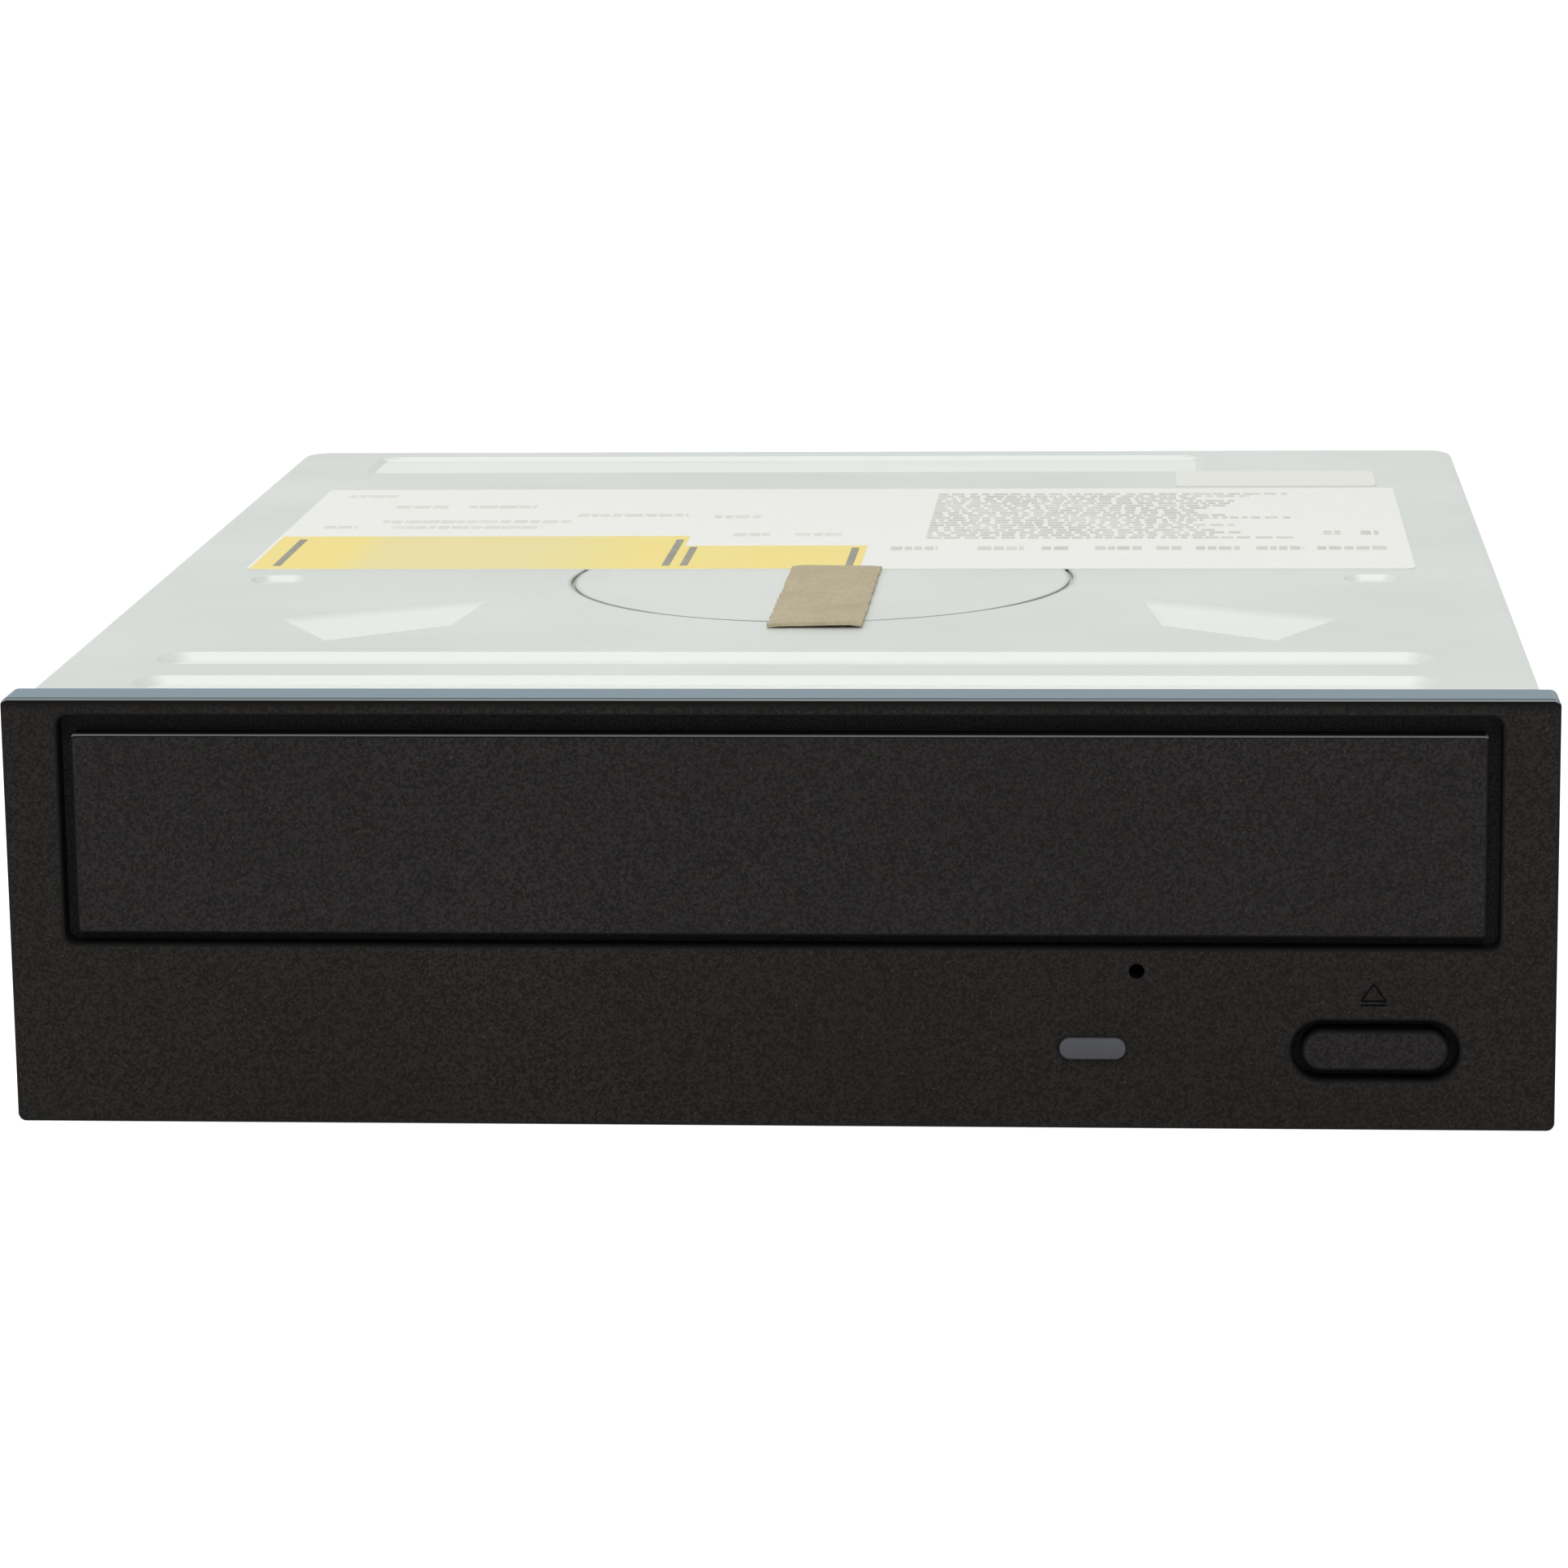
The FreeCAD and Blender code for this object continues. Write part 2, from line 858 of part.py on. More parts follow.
def side_mounts(cover):
    """Tapped holes with collars drawn inwards from the side walls."""
    collars = []
    holes = []
    for hand in HANDS:
        for y in mount_rows:
            for z in side_mount_levels:
                wall = sided(hand, inner_side - collar_height, inner_side)
                through = sided(hand, inner_side - collar_height, side)
                collars.append(pin_along_x(wall, y, z, mount_radius + collar_wall))
                holes.append(pin_along_x(through, y, z, mount_radius))
    return cover.fuse(collars).cut(holes)


def clip_slots():
    slots = []
    for hand in HANDS:
        x = sided(hand, inner_side, side)
        y = (body_front + clip_bump_front - case_play, body_front + clip_bump_back + case_play)
        z = (clip_low + sheet, clip_high - sheet)
        slots.append(block(x, y, z))
    return slots


def screw_tabs():
    """Tabs folded inwards from the side walls, one over each screw cup."""
    tabs = []
    holes = []
    for x, y in case_screw_places:
        hand = math.copysign(1, x)
        inner = abs(x) - tab_width / 2
        tabs.append(block(sided(hand, inner, inner_side), around(y, tab_width / 2), (cup_top, tab_top)))
        holes.append(post(x, y, (cup_top, tab_top), screw_hole_radius))
    return tabs, holes


def top_cover():
    cover = cover_shell()
    for middle in groove_places:
        cover = pressed_rectangle(cover, around(0, groove_half_length),
                                  around(middle, groove_width / 2), groove_width * groove_round_share,
                                  groove_depth, press_slope)
    for hand in HANDS:
        cover = pressed_pocket(cover, hand)
    for x in dimple_places:
        cover = pressed_rectangle(cover, around(x, dimple_length / 2),
                                  around(spindle_y, dimple_width / 2), dimple_width * dimple_round_share,
                                  dimple_depth, press_slope / 2)
    cover = pressed_rectangle(cover, (step_left, step_right), (step_front, step_back),
                              case_fold, step_depth, press_slope)
    line = tube(0, spindle_y, (top - ring_depth, top), ring_radius + ring_width / 2,
                ring_radius - ring_width / 2)
    tabs, tab_holes = screw_tabs()
    window = block((-window_half, window_half), (inner_back - sheet, back), (base, window_top))
    cover = cover.fuse(tabs)
    cover = side_mounts(cover)
    return cover.cut([line, window] + tab_holes + clip_slots()).removeSplitter()


def bottom_cover():
    plate = block((-side, side), (body_front, back), (base, floor))
    uprights = edges_where(plate, lambda box: near(box.YMin, back) and near(box.YMax, back)
                           and box.XLength < sheet)
    plate = plate.makeFillet(case_corner, uprights)
    add = []
    remove = []
    rise = floor_press_depth
    for x, y in case_screw_places:
        spread = cup_radius + cup_slope
        add.append(cone(x, y, (base, cup_top), spread + sheet, cup_radius + sheet))
        remove.append(cone(x, y, (base, base + cup_depth), spread, cup_radius))
        remove.append(post(x, y, (base, cup_top), screw_hole_radius))
    edge = floor_press_edge
    field_x = (-side + edge, side - edge)
    field_y = (body_front + edge, back - edge)
    middle = (field_y[0] + field_y[1]) / 2
    for y in ((field_y[0], middle - edge / 2), (middle + edge / 2, field_y[1])):
        grown = sheet * floor_wall_share
        add.append(rounded_plate((field_x[0] - grown, field_x[1] + grown), (y[0] - grown, y[1] + grown),
                                 (base, floor + rise), case_corner + grown))
        remove.append(rounded_plate(field_x, y, (base, base + rise), case_corner))
    for hand in HANDS:
        for y in mount_rows:
            x = hand * mount_across / 2
            add.append(post(x, y, (base, floor + collar_height), mount_radius + collar_wall))
            remove.append(post(x, y, (base, floor + collar_height), mount_radius))
    return plate.fuse(add).cut(remove).removeSplitter()


def case_screws():
    under = base + cup_depth
    screws = []
    for x, y in case_screw_places:
        head = post(x, y, (under - screw_head_height, under), screw_head_radius)
        shank = post(x, y, (under, tab_top + screw_reach), screw_shank_radius)
        cross_z = (under - screw_head_height, under - screw_head_height / 2)
        cross = cross_recess(x, y, cross_z, large_cross)
        screws.append(merged([head, shank]).cut(cross))
    return group(screws)


def cross_recess(x, y, z, size):
    """The cross of a screw's head; the size is its reach and its bars' width."""
    reach, width = size
    along = block(around(x, reach), around(y, width / 2), z)
    across = block(around(x, width / 2), around(y, reach), z)
    return along.fuse(across)


# Label, sticker and tape

def rating_label():
    return rounded_plate((-label_half_width, label_half_width), (label_front, label_back),
                         (top, top + paper), case_fold)


def blank_sticker():
    return rounded_plate((sticker_left, sticker_right), (sticker_front, step_front - press_slope),
                         (top, top + paper), case_fold)


def cover_tape():
    return rounded_plate((tape_left, tape_right), (tape_front, label_front),
                         (top, top + tape_thick), case_fold / 2)


# The frame

def frame_side(hand):
    """One side wall with the rail that the tray slides in."""
    wall_back_y = inner_back - case_play
    wall = block(sided(hand, wall_in, wall_out), (frame_front, wall_back_y), (frame_low, frame_top))
    corner = edges_where(wall, lambda box: near(box.YMin, wall_back_y) and near(box.YMax, wall_back_y)
                         and near(box.XMin, hand * wall_out) and near(box.XMax, hand * wall_out))
    wall = wall.makeFillet(min(case_corner, frame_wall * corner_share), corner)
    ledge = block(sided(hand, wall_in - rail_ledge, wall_in), (frame_front, tray_back),
                  (ledge_level - rail_ledge_thick, ledge_level))
    guide = block(sided(hand, tray_half_width + case_play, wall_in), (frame_front, tray_back),
                  (ledge_level - rail_ledge_thick, rail_guide_top))
    tab_low = tray_top + rail_tab_gap
    places = [(frame_front, frame_front + rail_tab_length)]
    pieces = [wall, ledge, guide]
    for y in places:
        pieces.append(block(sided(hand, wall_in - rail_tab_depth, wall_in), y,
                            (tab_low, tab_low + rail_tab_thick)))
    for y in bridge_screw_rows:
        pieces.append(block(sided(hand, wall_in - rail_tab_depth, wall_in),
                            around(y, bridge_screw_from_edge),
                            (bridge_level - rail_tab_thick, bridge_level)))
    return pieces


def frame_board_seats(hand):
    """Ledges over the main board, with bosses for its screws."""
    z = (main_board_top, main_board_top + board_ledge_height)
    ledge_back = back_boss_y - boss_radius
    pieces = [block(sided(hand, wall_in - board_ledge, wall_in), (main_board_front, ledge_back), z)]
    for y in board_boss_places:
        boss_z = (main_board_top, main_board_top + board_boss_height)
        pieces.append(post(hand * board_boss_x, y, boss_z, board_boss_radius))
    return pieces


def frame_cuts():
    cuts = []
    for hand in HANDS:
        for y in mount_rows:
            for z in side_mount_levels:
                reach = sided(hand, side - mount_screw_reach, wall_out + case_play)
                cuts.append(pin_along_x(reach, y, z, mount_radius + collar_wall + collar_room))
            low = (base, base + mount_screw_reach)
            cuts.append(post(hand * mount_across / 2, y, low, mount_radius + collar_wall + collar_room))
        clip_x = sided(hand, wall_out + case_play - clip_thick - free_gap, wall_out + case_play)
        clip_y = (body_front, body_front + clip_reach + free_gap)
        cuts.append(block(clip_x, clip_y, (clip_low - free_gap, clip_high + free_gap)))
        cuts.append(pin_along_x(sided(hand, wall_in - sheet, wall_out + sheet), pivot_y, pivot_z,
                                trunnion_radius + running_fit))
        for y in bridge_screw_rows:
            cuts.append(post(hand * bridge_screw_x, y, (bridge_level - rail_tab_thick, bridge_level),
                             bridge_screw_radius + running_fit))
    for x, y in case_screw_places:
        hand = math.copysign(1, x)
        room = cup_radius + cup_slope + sheet + case_play
        cuts.append(block(sided(hand, abs(x) - room, wall_out + case_play), around(y, room),
                          (frame_low, tab_top)))
        cuts.append(post(x, y, (tab_top, tab_top + screw_reach + free_gap),
                         screw_shank_radius + running_fit))
    for x, y in board_screw_places:
        cuts.append(post(x, y, (main_board_top, main_board_top + board_boss_height),
                         board_screw_radius + running_fit))
    return cuts


def deck():
    """The front deck with the gear posts, the motor seat and the slider's hooks."""
    plate = block((-wall_in, wall_in), (frame_front + sheet, deck_back), (deck_under, deck_level))
    loading_top = tray_under - free_gap
    pieces = [
        plate,
        post(*loading_centre, (deck_level, loading_top), loading_post_radius),
        post(*pulley_centre, (deck_level, wheel_top + free_gap), pulley_post_radius),
    ]
    flange_top = deck_level + slide_gap + slider_flange_thick
    flange_front = slider_front - slider_flange
    for x in hook_places:
        wide = around(x, hook_width / 2)
        upright = (flange_front - free_gap - frame_wall / 2, flange_front - free_gap)
        pieces.append(block(wide, upright, (deck_level, flange_top + free_gap + sheet)))
        pieces.append(block(wide, (upright[0], flange_front + frame_wall / 2),
                            (flange_top + free_gap, flange_top + free_gap + sheet)))
    for hand in HANDS:
        pieces.append(post(hand * front_boss_x, front_boss_y, (tab_top, deck_under), boss_radius))
        corner_x = sided(hand, back_boss_x - boss_radius, wall_in)
        corner_y = (back_boss_y - boss_radius, inner_back - case_play)
        pieces.append(block(corner_x, corner_y, (tab_top, tab_top + screw_reach + frame_wall)))
    for x, y in front_screw_places:
        pieces.append(post(x, y, (front_board_top, deck_under), front_post_radius))
    return pieces


def deck_cuts():
    cuts = [post(motor_x, motor_y, (deck_under, deck_level), motor_collar + slide_gap)]
    for x, y in motor_screw_places:
        cuts.append(post(x, y, (deck_under, deck_level), motor_screw_radius + slide_gap))
    for x, y in front_screw_places:
        cuts.append(post(x, y, (front_board_top, front_board_top + board_boss_height),
                         board_screw_radius + running_fit))
    return cuts


def main_frame():
    pieces = []
    for hand in HANDS:
        pieces += frame_side(hand) + frame_board_seats(hand)
    pieces += deck()
    stop_back = inner_back - case_play
    pieces.append(block((-wall_in, wall_in), (stop_back - stop_bar_depth, stop_back),
                        (stop_bar_low, stop_bar_top)))
    return merged(pieces).cut(frame_cuts() + deck_cuts()).removeSplitter()


def clamp_bridge():
    """A steel cross-piece over the tray, with a round hole that the clamper hangs in."""
    plate = rounded_plate((-bridge_half, bridge_half), (bridge_front, bridge_back),
                          (bridge_level, bridge_top), case_corner)
    flange_x = around(0, bridge_screw_x - bridge_screw_from_edge)
    flange_z = (bridge_level, bridge_top + bridge_flange)
    flanges = [block(flange_x, (bridge_front, bridge_front + bridge_sheet), flange_z),
               block(flange_x, (bridge_back - bridge_sheet, bridge_back), flange_z)]
    holes = [post(0, spindle_y, (bridge_level, bridge_top), bridge_hole)]
    for hand in HANDS:
        for y in bridge_screw_rows:
            holes.append(post(hand * bridge_screw_x, y, (bridge_level, bridge_top),
                              bridge_screw_radius + slide_gap))
    return merged([plate] + flanges).cut(holes)


def clamp_bridge_screws():
    screws = []
    for hand in HANDS:
        for y in bridge_screw_rows:
            x = hand * bridge_screw_x
            head = post(x, y, (bridge_top, bridge_top + bridge_screw_head_height), bridge_screw_head)
            shank_z = (bridge_level - rail_tab_thick + slide_gap, bridge_top)
            shank = post(x, y, shank_z, bridge_screw_radius)
            cross_z = (bridge_top + bridge_screw_head_height / 2, bridge_top + bridge_screw_head_height)
            cross = cross_recess(x, y, cross_z, medium_cross)
            screws.append(merged([head, shank]).cut(cross))
    return group(screws)


# Tray and door

def disc_tray():
    y = (plate_front, tray_back)
    floor_top = tray_under + tray_floor
    plate = rounded_plate((-tray_half_width, tray_half_width), y, (tray_under, tray_top), case_fold)
    front_wall = block(around(0, tray_wall_half), (tray_front, plate_front), (rack_low, tray_wall_top))
    well = post(0, spindle_y, (floor_top, tray_top), well_radius)
    small_well = post(0, spindle_y, (floor_top - small_well_depth, floor_top), small_well_radius)
    slot = rounded_plate(around(0, slot_half_width), (slot_front, slot_back),
                         (tray_under, tray_top), case_corner)
    strip_x = around(0, slot_half_width)
    strip_room = block(strip_x, (slot_back - case_corner, tray_back), (tray_under, tray_top))
    strip_low = tray_under + bar_lift
    strip = block(strip_x, (slot_back, tray_back), (strip_low, strip_low + bar_thick))
    scoops = [post(hand * well_radius, spindle_y, (floor_top, tray_top), scoop_radius) for hand in HANDS]
    keep = block(around(0, tray_half_width - tray_rim), y, (tray_under, tray_top))
    scoops = [scoop.common(keep) for scoop in scoops]
    body = merged([plate, front_wall]).cut([well, small_well, slot, strip_room] + scoops)
    return merged([body, strip] + disc_holders() + [tray_rack()])


def disc_holders():
    """Four small lugs at the well's edge that hold a disc when the drive stands on its side."""
    lugs = []
    for turn in holder_turns:
        lug = block((well_radius - holder_width / 2, well_radius + holder_width),
                    around(0, holder_length / 2), (tray_top - holder_height, tray_top + holder_height / 2))
        lug.rotate(ORIGIN, Z_AXIS, turn)
        lug.translate(at(0, spindle_y, 0))
        keep = block(around(0, tray_half_width), (plate_front, tray_back),
                     (tray_under, tray_top + holder_height))
        lugs.append(lug.common(keep))
    return lugs


def tray_rack():
    y = (rack_front_y, tray_back - rack_end_inset)
    back_x = rack_pitch_x - rack_module * tooth_root - rack_back
    outline = rack_outline(rack_pitch_x, y, loading_y, rack_module, back_x)
    return slab(outline, (rack_low, tray_under + slide_gap))


def tray_door():
    door = rounded_front_plate((-door_half, door_half), (door_low, door_high), (front, door_back),
                               door_corner)
    rim = edges_where(door, lambda box: near(box.YMin, front) and near(box.YMax, front))
    return door.makeFillet(door_edge, rim)


# Loading train

def grooved_disc(centre, z, radius, groove_radius):
    """A flat pulley with a groove for the belt."""
    groove = (belt_middle - belt_size / 2 - slide_gap, belt_middle + belt_size / 2 + slide_gap)
    disc = post(*centre, z, radius)
    return disc.cut(tube(*centre, groove, radius, groove_radius))


def pulley_gear():
    wheel = grooved_disc(pulley_centre, (pulley_low, pulley_top), pulley_radius,
                         pulley_radius - pulley_groove)
    first_tooth = train_angle + 180 + 180 / pinion_teeth
    pinion = gear_disc(pulley_centre, train_module, pinion_teeth, first_tooth, (pulley_top, wheel_top))
    hub = post(*pulley_centre, (hub_low, pulley_low), hub_radius * pinion_hub_share)
    bore = post(*pulley_centre, (hub_low, wheel_top), pulley_post_radius + running_fit)
    return merged([wheel, pinion, hub]).cut(bore)


def loading_gear():
    wheel = gear_disc(loading_centre, train_module, wheel_teeth, train_angle, (wheel_low, wheel_top))
    top_z = (wheel_top, tray_under - free_gap - slide_gap)
    upper = gear_disc(loading_centre, rack_module, rack_gear_teeth, 180, top_z)
    hub = post(*loading_centre, (hub_low, wheel_low), hub_radius)
    bore = post(*loading_centre, (hub_low, top_z[1]), loading_post_radius + running_fit)
    return merged([wheel, upper, hub]).cut(bore)


def motor_pulley():
    centre = (motor_x, motor_y)
    wheel = grooved_disc(centre, (pulley_low, pulley_top), motor_pulley_radius,
                         motor_pulley_radius - pulley_groove)
    shaft = post(*centre, (deck_under - motor_shaft_depth, pulley_top + free_gap), motor_shaft_radius)
    return merged([wheel, shaft])


def loading_motor():
    centre = (motor_x, motor_y)
    can = post(*centre, (deck_under - motor_height, deck_under), motor_radius)
    rim = edges_where(can, lambda box: near(box.ZMax, deck_under - motor_height))
    can = can.makeFillet(case_fold, rim)
    collar = post(*centre, (deck_under, deck_level - free_gap), motor_collar)
    bore_low = deck_under - motor_shaft_depth - free_gap
    bores = [post(*centre, (bore_low, deck_level), motor_shaft_radius + running_fit)]
    for x, y in motor_screw_places:
        bores.append(post(x, y, (deck_under - deck_thick, deck_under), motor_screw_radius + running_fit))
    return merged([can, collar]).cut(bores)


def loading_motor_screws():
    screws = []
    for x, y in motor_screw_places:
        head_z = (deck_level, deck_level + motor_screw_head_height)
        shank = post(x, y, (deck_under - deck_thick + slide_gap, deck_level), motor_screw_radius)
        cross_z = (deck_level + motor_screw_head_height / 2, head_z[1])
        cross = cross_recess(x, y, cross_z, small_cross)
        screws.append(merged([post(x, y, head_z, motor_screw_head), shank]).cut(cross))
    return group(screws)


def loop_wire(big, big_radius, small, small_radius, z):
    """The outline of a belt round two pulleys: two tangents and two arcs."""
    along = at(small[0] - big[0], small[1] - big[1], 0)
    heading = math.degrees(math.atan2(along.y, along.x))
    spread = math.degrees(math.acos((big_radius - small_radius) / along.Length))
    big_arc = [on_circle(big, big_radius, heading + turn, z) for turn in (spread, 180, 360 - spread)]
    small_arc = [on_circle(small, small_radius, heading + turn, z) for turn in (-spread, 0, spread)]
    return Part.Wire([
        Part.Arc(*big_arc).toShape(),
        Part.makeLine(big_arc[2], small_arc[0]),
        Part.Arc(*small_arc).toShape(),
        Part.makeLine(small_arc[2], big_arc[0]),
    ])


def drive_belt():
    low = belt_middle - belt_size / 2
    big = pulley_radius - pulley_groove + belt_gap
    small = motor_pulley_radius - pulley_groove + belt_gap
    motor = (motor_x, motor_y)
    rise = at(0, 0, belt_size)
    inner = Part.Face(loop_wire(pulley_centre, big, motor, small, low)).extrude(rise)
    outer_wire = loop_wire(pulley_centre, big + belt_size, motor, small + belt_size, low)
    return Part.Face(outer_wire).extrude(rise).cut(inner)


def slanted_slot(x):
    """The cam slot: a stadium from the pin's high place to its low place as the slider has moved."""
    radius = cam_pin_radius + slot_play
    high = (x, pivot_z)
    low = (x + slider_travel, pivot_z - cam_drop)
    y = (slider_front - free_gap, slider_back + free_gap)
    run = math.atan2(low[1] - high[1], low[0] - high[0])
    side_x = -radius * math.sin(run)
    side_z = radius * math.cos(run)
    corners = [(high[0] + side_x, high[1] + side_z), (high[0] - side_x, high[1] - side_z),
               (low[0] - side_x, low[1] - side_z), (low[0] + side_x, low[1] + side_z)]
    ends = [pin_along_y(px, y, pz, radius) for px, pz in (high, low)]
    return merged([slab_facing_front(corners, y)] + ends)


def cam_slider():
    """The cam that lowers the lift: an upright wall with two slanted slots and a flange on the deck."""
    low = pivot_z - cam_drop - cam_pin_radius - slot_play - slider_web
    high = pivot_z + cam_pin_radius + slot_play + slider_web
    x = (slider_left, slider_right)
    wall = block(x, (slider_front, slider_back), (low, high))
    flange_low = deck_level + slide_gap
    lug_front = slider_front - slider_flange
    flange = block(x, (lug_front, slider_front), (flange_low, flange_low + slider_flange_thick))
    lug = slab([(lug_left, lug_front - lug_reach), (lug_right, lug_front), (lug_right, slider_front),
                (lug_left, slider_front)], (flange_low, flange_low + lug_height))
    arm_low = rack_low
    riser = block((slider_rack_left, slider_rack_right), (slider_rack_y, slider_front),
                  (flange_low, arm_low + slider_rack_height))
    room = block((slider_rack_left, slider_rack_right),
                 (slider_rack_y - slider_gap, slider_rack_y + slider_gap * 2),
                 (flange_low + slider_flange_thick, arm_low))
    teeth = slider_teeth((arm_low, arm_low + slider_rack_height))
    slots = [slanted_slot(hand * cam_pin_x) for hand in HANDS]
    return merged([wall, flange, lug, riser.cut(room), teeth]).cut(slots)


def slider_teeth(z):
    """A short rack along X with its teeth towards the front."""
    pitch = math.pi * rack_module
    root_y = slider_rack_y - slider_rack_depth
    tip_y = root_y - (1 + tooth_root) * rack_module
    outline = [(slider_rack_right, slider_rack_y), (slider_rack_left, slider_rack_y)]
    outline.append((slider_rack_left, root_y))
    count = int((slider_rack_right - slider_rack_left) / pitch)
    for tooth in range(count):
        start = slider_rack_left + tooth * pitch
        rise, crest, fall = [start + pitch * share for share in slider_tooth_shares]
        outline += [(start, root_y), (rise, tip_y), (crest, tip_y), (fall, root_y)]
    outline.append((slider_rack_right, root_y))
    return slab([p for i, p in enumerate(outline) if i == 0 or p != outline[i - 1]], z)


# Lift, traverse and spindle

def lift_frame():
    z = (lift_low, lift_top)
    x = (-lift_half_width, lift_half_width)
    ring = rounded_plate(x, (lift_front, lift_back), z, case_corner)
    window = rounded_plate((x[0] + lift_rail, x[1] - lift_rail),
                           (lift_front + lift_front_bar, lift_back - lift_back_bar), z, case_corner)
    pieces = [ring.cut(window)]
    for hand in HANDS:
        pieces.append(block(sided(hand, lift_half_width - lift_rail / 2, wall_in - free_gap),
                            around(pivot_y, trunnion_arm / 2), z))
        pieces.append(pin_along_x(sided(hand, wall_in - free_gap, trunnion_end), pivot_y, pivot_z,
                                  trunnion_radius))
        pieces.append(pin_along_y(hand * cam_pin_x, (lift_front - cam_pin_length, lift_front), pivot_z,
                                  min(cam_pin_radius, lift_thick / 2)))
    holes = [post(px, py, z, damper_screw_radius + running_fit) for px, py in damper_places]
    return merged(pieces).cut(holes)


def traverse_base():
    """The steel plate that the spindle motor and the sled's rods are fixed to."""
    z = (plate_low, plate_top)
    plate = rounded_plate((-traverse_half_width, traverse_half_width), (lift_front, lift_back), z,
                          case_corner)
    sled_room = rounded_plate((traverse_open_left, traverse_open_right),
                              (traverse_open_front, traverse_open_back), z, case_fold)
    sled_room = sled_room.cut(post(0, spindle_y, z, spindle_plate_radius))
    spindle_room = post(0, spindle_y, z, spindle_tube_radius + free_gap)
    motor_y_range = (sled_motor_front - free_gap, sled_motor_front + sled_motor_length + free_gap)
    motor_room = block(around(screw_x, sled_motor_radius + free_gap), motor_y_range, z)
    screw_room = block(around(screw_x, lead_screw_radius + free_gap),
                       (motor_y_range[1] - free_gap, traverse_open_front), z)
    holes = [post(px, py, z, damper_neck) for px, py in damper_places]
    return merged([plate.cut([sled_room, spindle_room, motor_room, screw_room] + holes)] + rod_clips()
                  + [motor_bracket()])


def rod_clips():
    """Folded clips that hold the ends of the rods and of the lead screw."""
    clips = []
    z = (rod_z - rod_radius - sheet, plate_low)
    for hand in HANDS:
        for y in ((rod_front, rod_front + clip_length), (rod_back - clip_length, rod_back)):
            clip = block(around(hand * rod_x, clip_half_width), y, z)
            clips.append(clip.cut(pin_along_y(hand * rod_x, y, rod_z, rod_radius)))
    y = (rod_back - clip_length, rod_back)
    end = block((rod_x + clip_half_width, screw_x + clip_half_width), y, z)
    clips.append(end.cut(pin_along_y(screw_x, (y[0], lead_screw_end + free_gap), rod_z,
                                     lead_screw_radius + running_fit)))
    return clips


def motor_bracket():
    y0 = sled_motor_front + sled_motor_length
    across = around(screw_x, sled_motor_radius + free_gap)
    upright = block(across, (y0, y0 + bracket_sheet), (rod_z - bracket_drop, plate_top + sheet))
    return upright.cut(pin_along_y(screw_x, (y0, y0 + bracket_sheet), rod_z, lead_screw_radius + free_gap))


def dampers():
    """Rubber bushes: the plate sits in the neck between foot and cap."""
    bushes = []
    for x, y in damper_places:
        foot = post(x, y, (lift_top, plate_low), damper_radius)
        neck = post(x, y, (plate_low, plate_top), damper_neck)
        cap = post(x, y, (plate_top, plate_top + damper_cap), damper_radius)
        bore = post(x, y, (lift_top, plate_top + damper_cap), damper_screw_radius + slide_gap)
        bushes.append(merged([foot, neck, cap]).cut(bore))
    return group(bushes)


def damper_screws():
    screws = []
    seat = plate_top + damper_cap
    for x, y in damper_places:
        head = post(x, y, (seat, seat + damper_screw_head_height), damper_screw_head)
        shank = post(x, y, (lift_low + slide_gap, seat), damper_screw_radius)
        cross_z = (seat + damper_screw_head_height / 2, seat + damper_screw_head_height)
        cross = cross_recess(x, y, cross_z, large_cross)
        screws.append(merged([head, shank]).cut(cross))
    return group(screws)


def spindle_base():
    plate = post(0, spindle_y, (plate_top, plate_top + spindle_plate), spindle_plate_radius)
    tube_z = (plate_top - spindle_tube_drop, rotor_top - rotor_wall - free_gap)
    bearing = post(0, spindle_y, tube_z, spindle_tube_radius)
    bore = post(0, spindle_y, (plate_top - spindle_tube_drop + sheet, tube_z[1]),
                spindle_shaft_radius + running_fit)
    return merged([plate, bearing]).cut(bore)


def spindle_stator():
    """Wound poles in a ring round the bearing tube."""
    low = plate_top + spindle_plate
    z = (low, min(low + stator_height, rotor_top - rotor_wall - free_gap))
    ring = tube(0, spindle_y, z, stator_inner, spindle_tube_radius)
    poles = [ring]
    for index in range(stator_poles):
        pole = block((stator_inner - sheet, stator_radius), around(0, stator_pole_half_width), z)
        pole.rotate(ORIGIN, Z_AXIS, index * 360 / stator_poles)
        pole.translate(at(0, spindle_y, 0))
        poles.append(pole)
    return merged(poles)


def spindle_rotor():
    cup = post(0, spindle_y, (rotor_low, rotor_top), rotor_radius)
    hollow = post(0, spindle_y, (rotor_low, rotor_top - rotor_wall), rotor_radius - rotor_wall)
    shaft_low = plate_top - spindle_tube_drop + sheet + free_gap
    shaft = post(0, spindle_y, (shaft_low, rotor_top), spindle_shaft_radius)
    return merged([cup.cut(hollow), shaft])


def turntable():
    z = (rotor_top, rotor_top + turntable_thick)
    disc = post(0, spindle_y, (z[0], disc_plane), turntable_radius)
    seat = tube(0, spindle_y, (z[1], disc_plane), turntable_radius + sheet, rubber_inner)
    straight = post(0, spindle_y, (z[0], disc_plane), hub_cone_radius)
    nose = cone(0, spindle_y, (disc_plane, disc_plane + hub_cone_height), hub_cone_radius, hub_cone_top)
    dish = tube(0, spindle_y, (z[1], disc_plane), rubber_inner, hub_cone_radius)
    return merged([disc.cut([seat, dish]), straight, nose])


def turntable_ring():
    return tube(0, spindle_y, (disc_plane - rubber_thick, disc_plane), rubber_radius, rubber_inner)


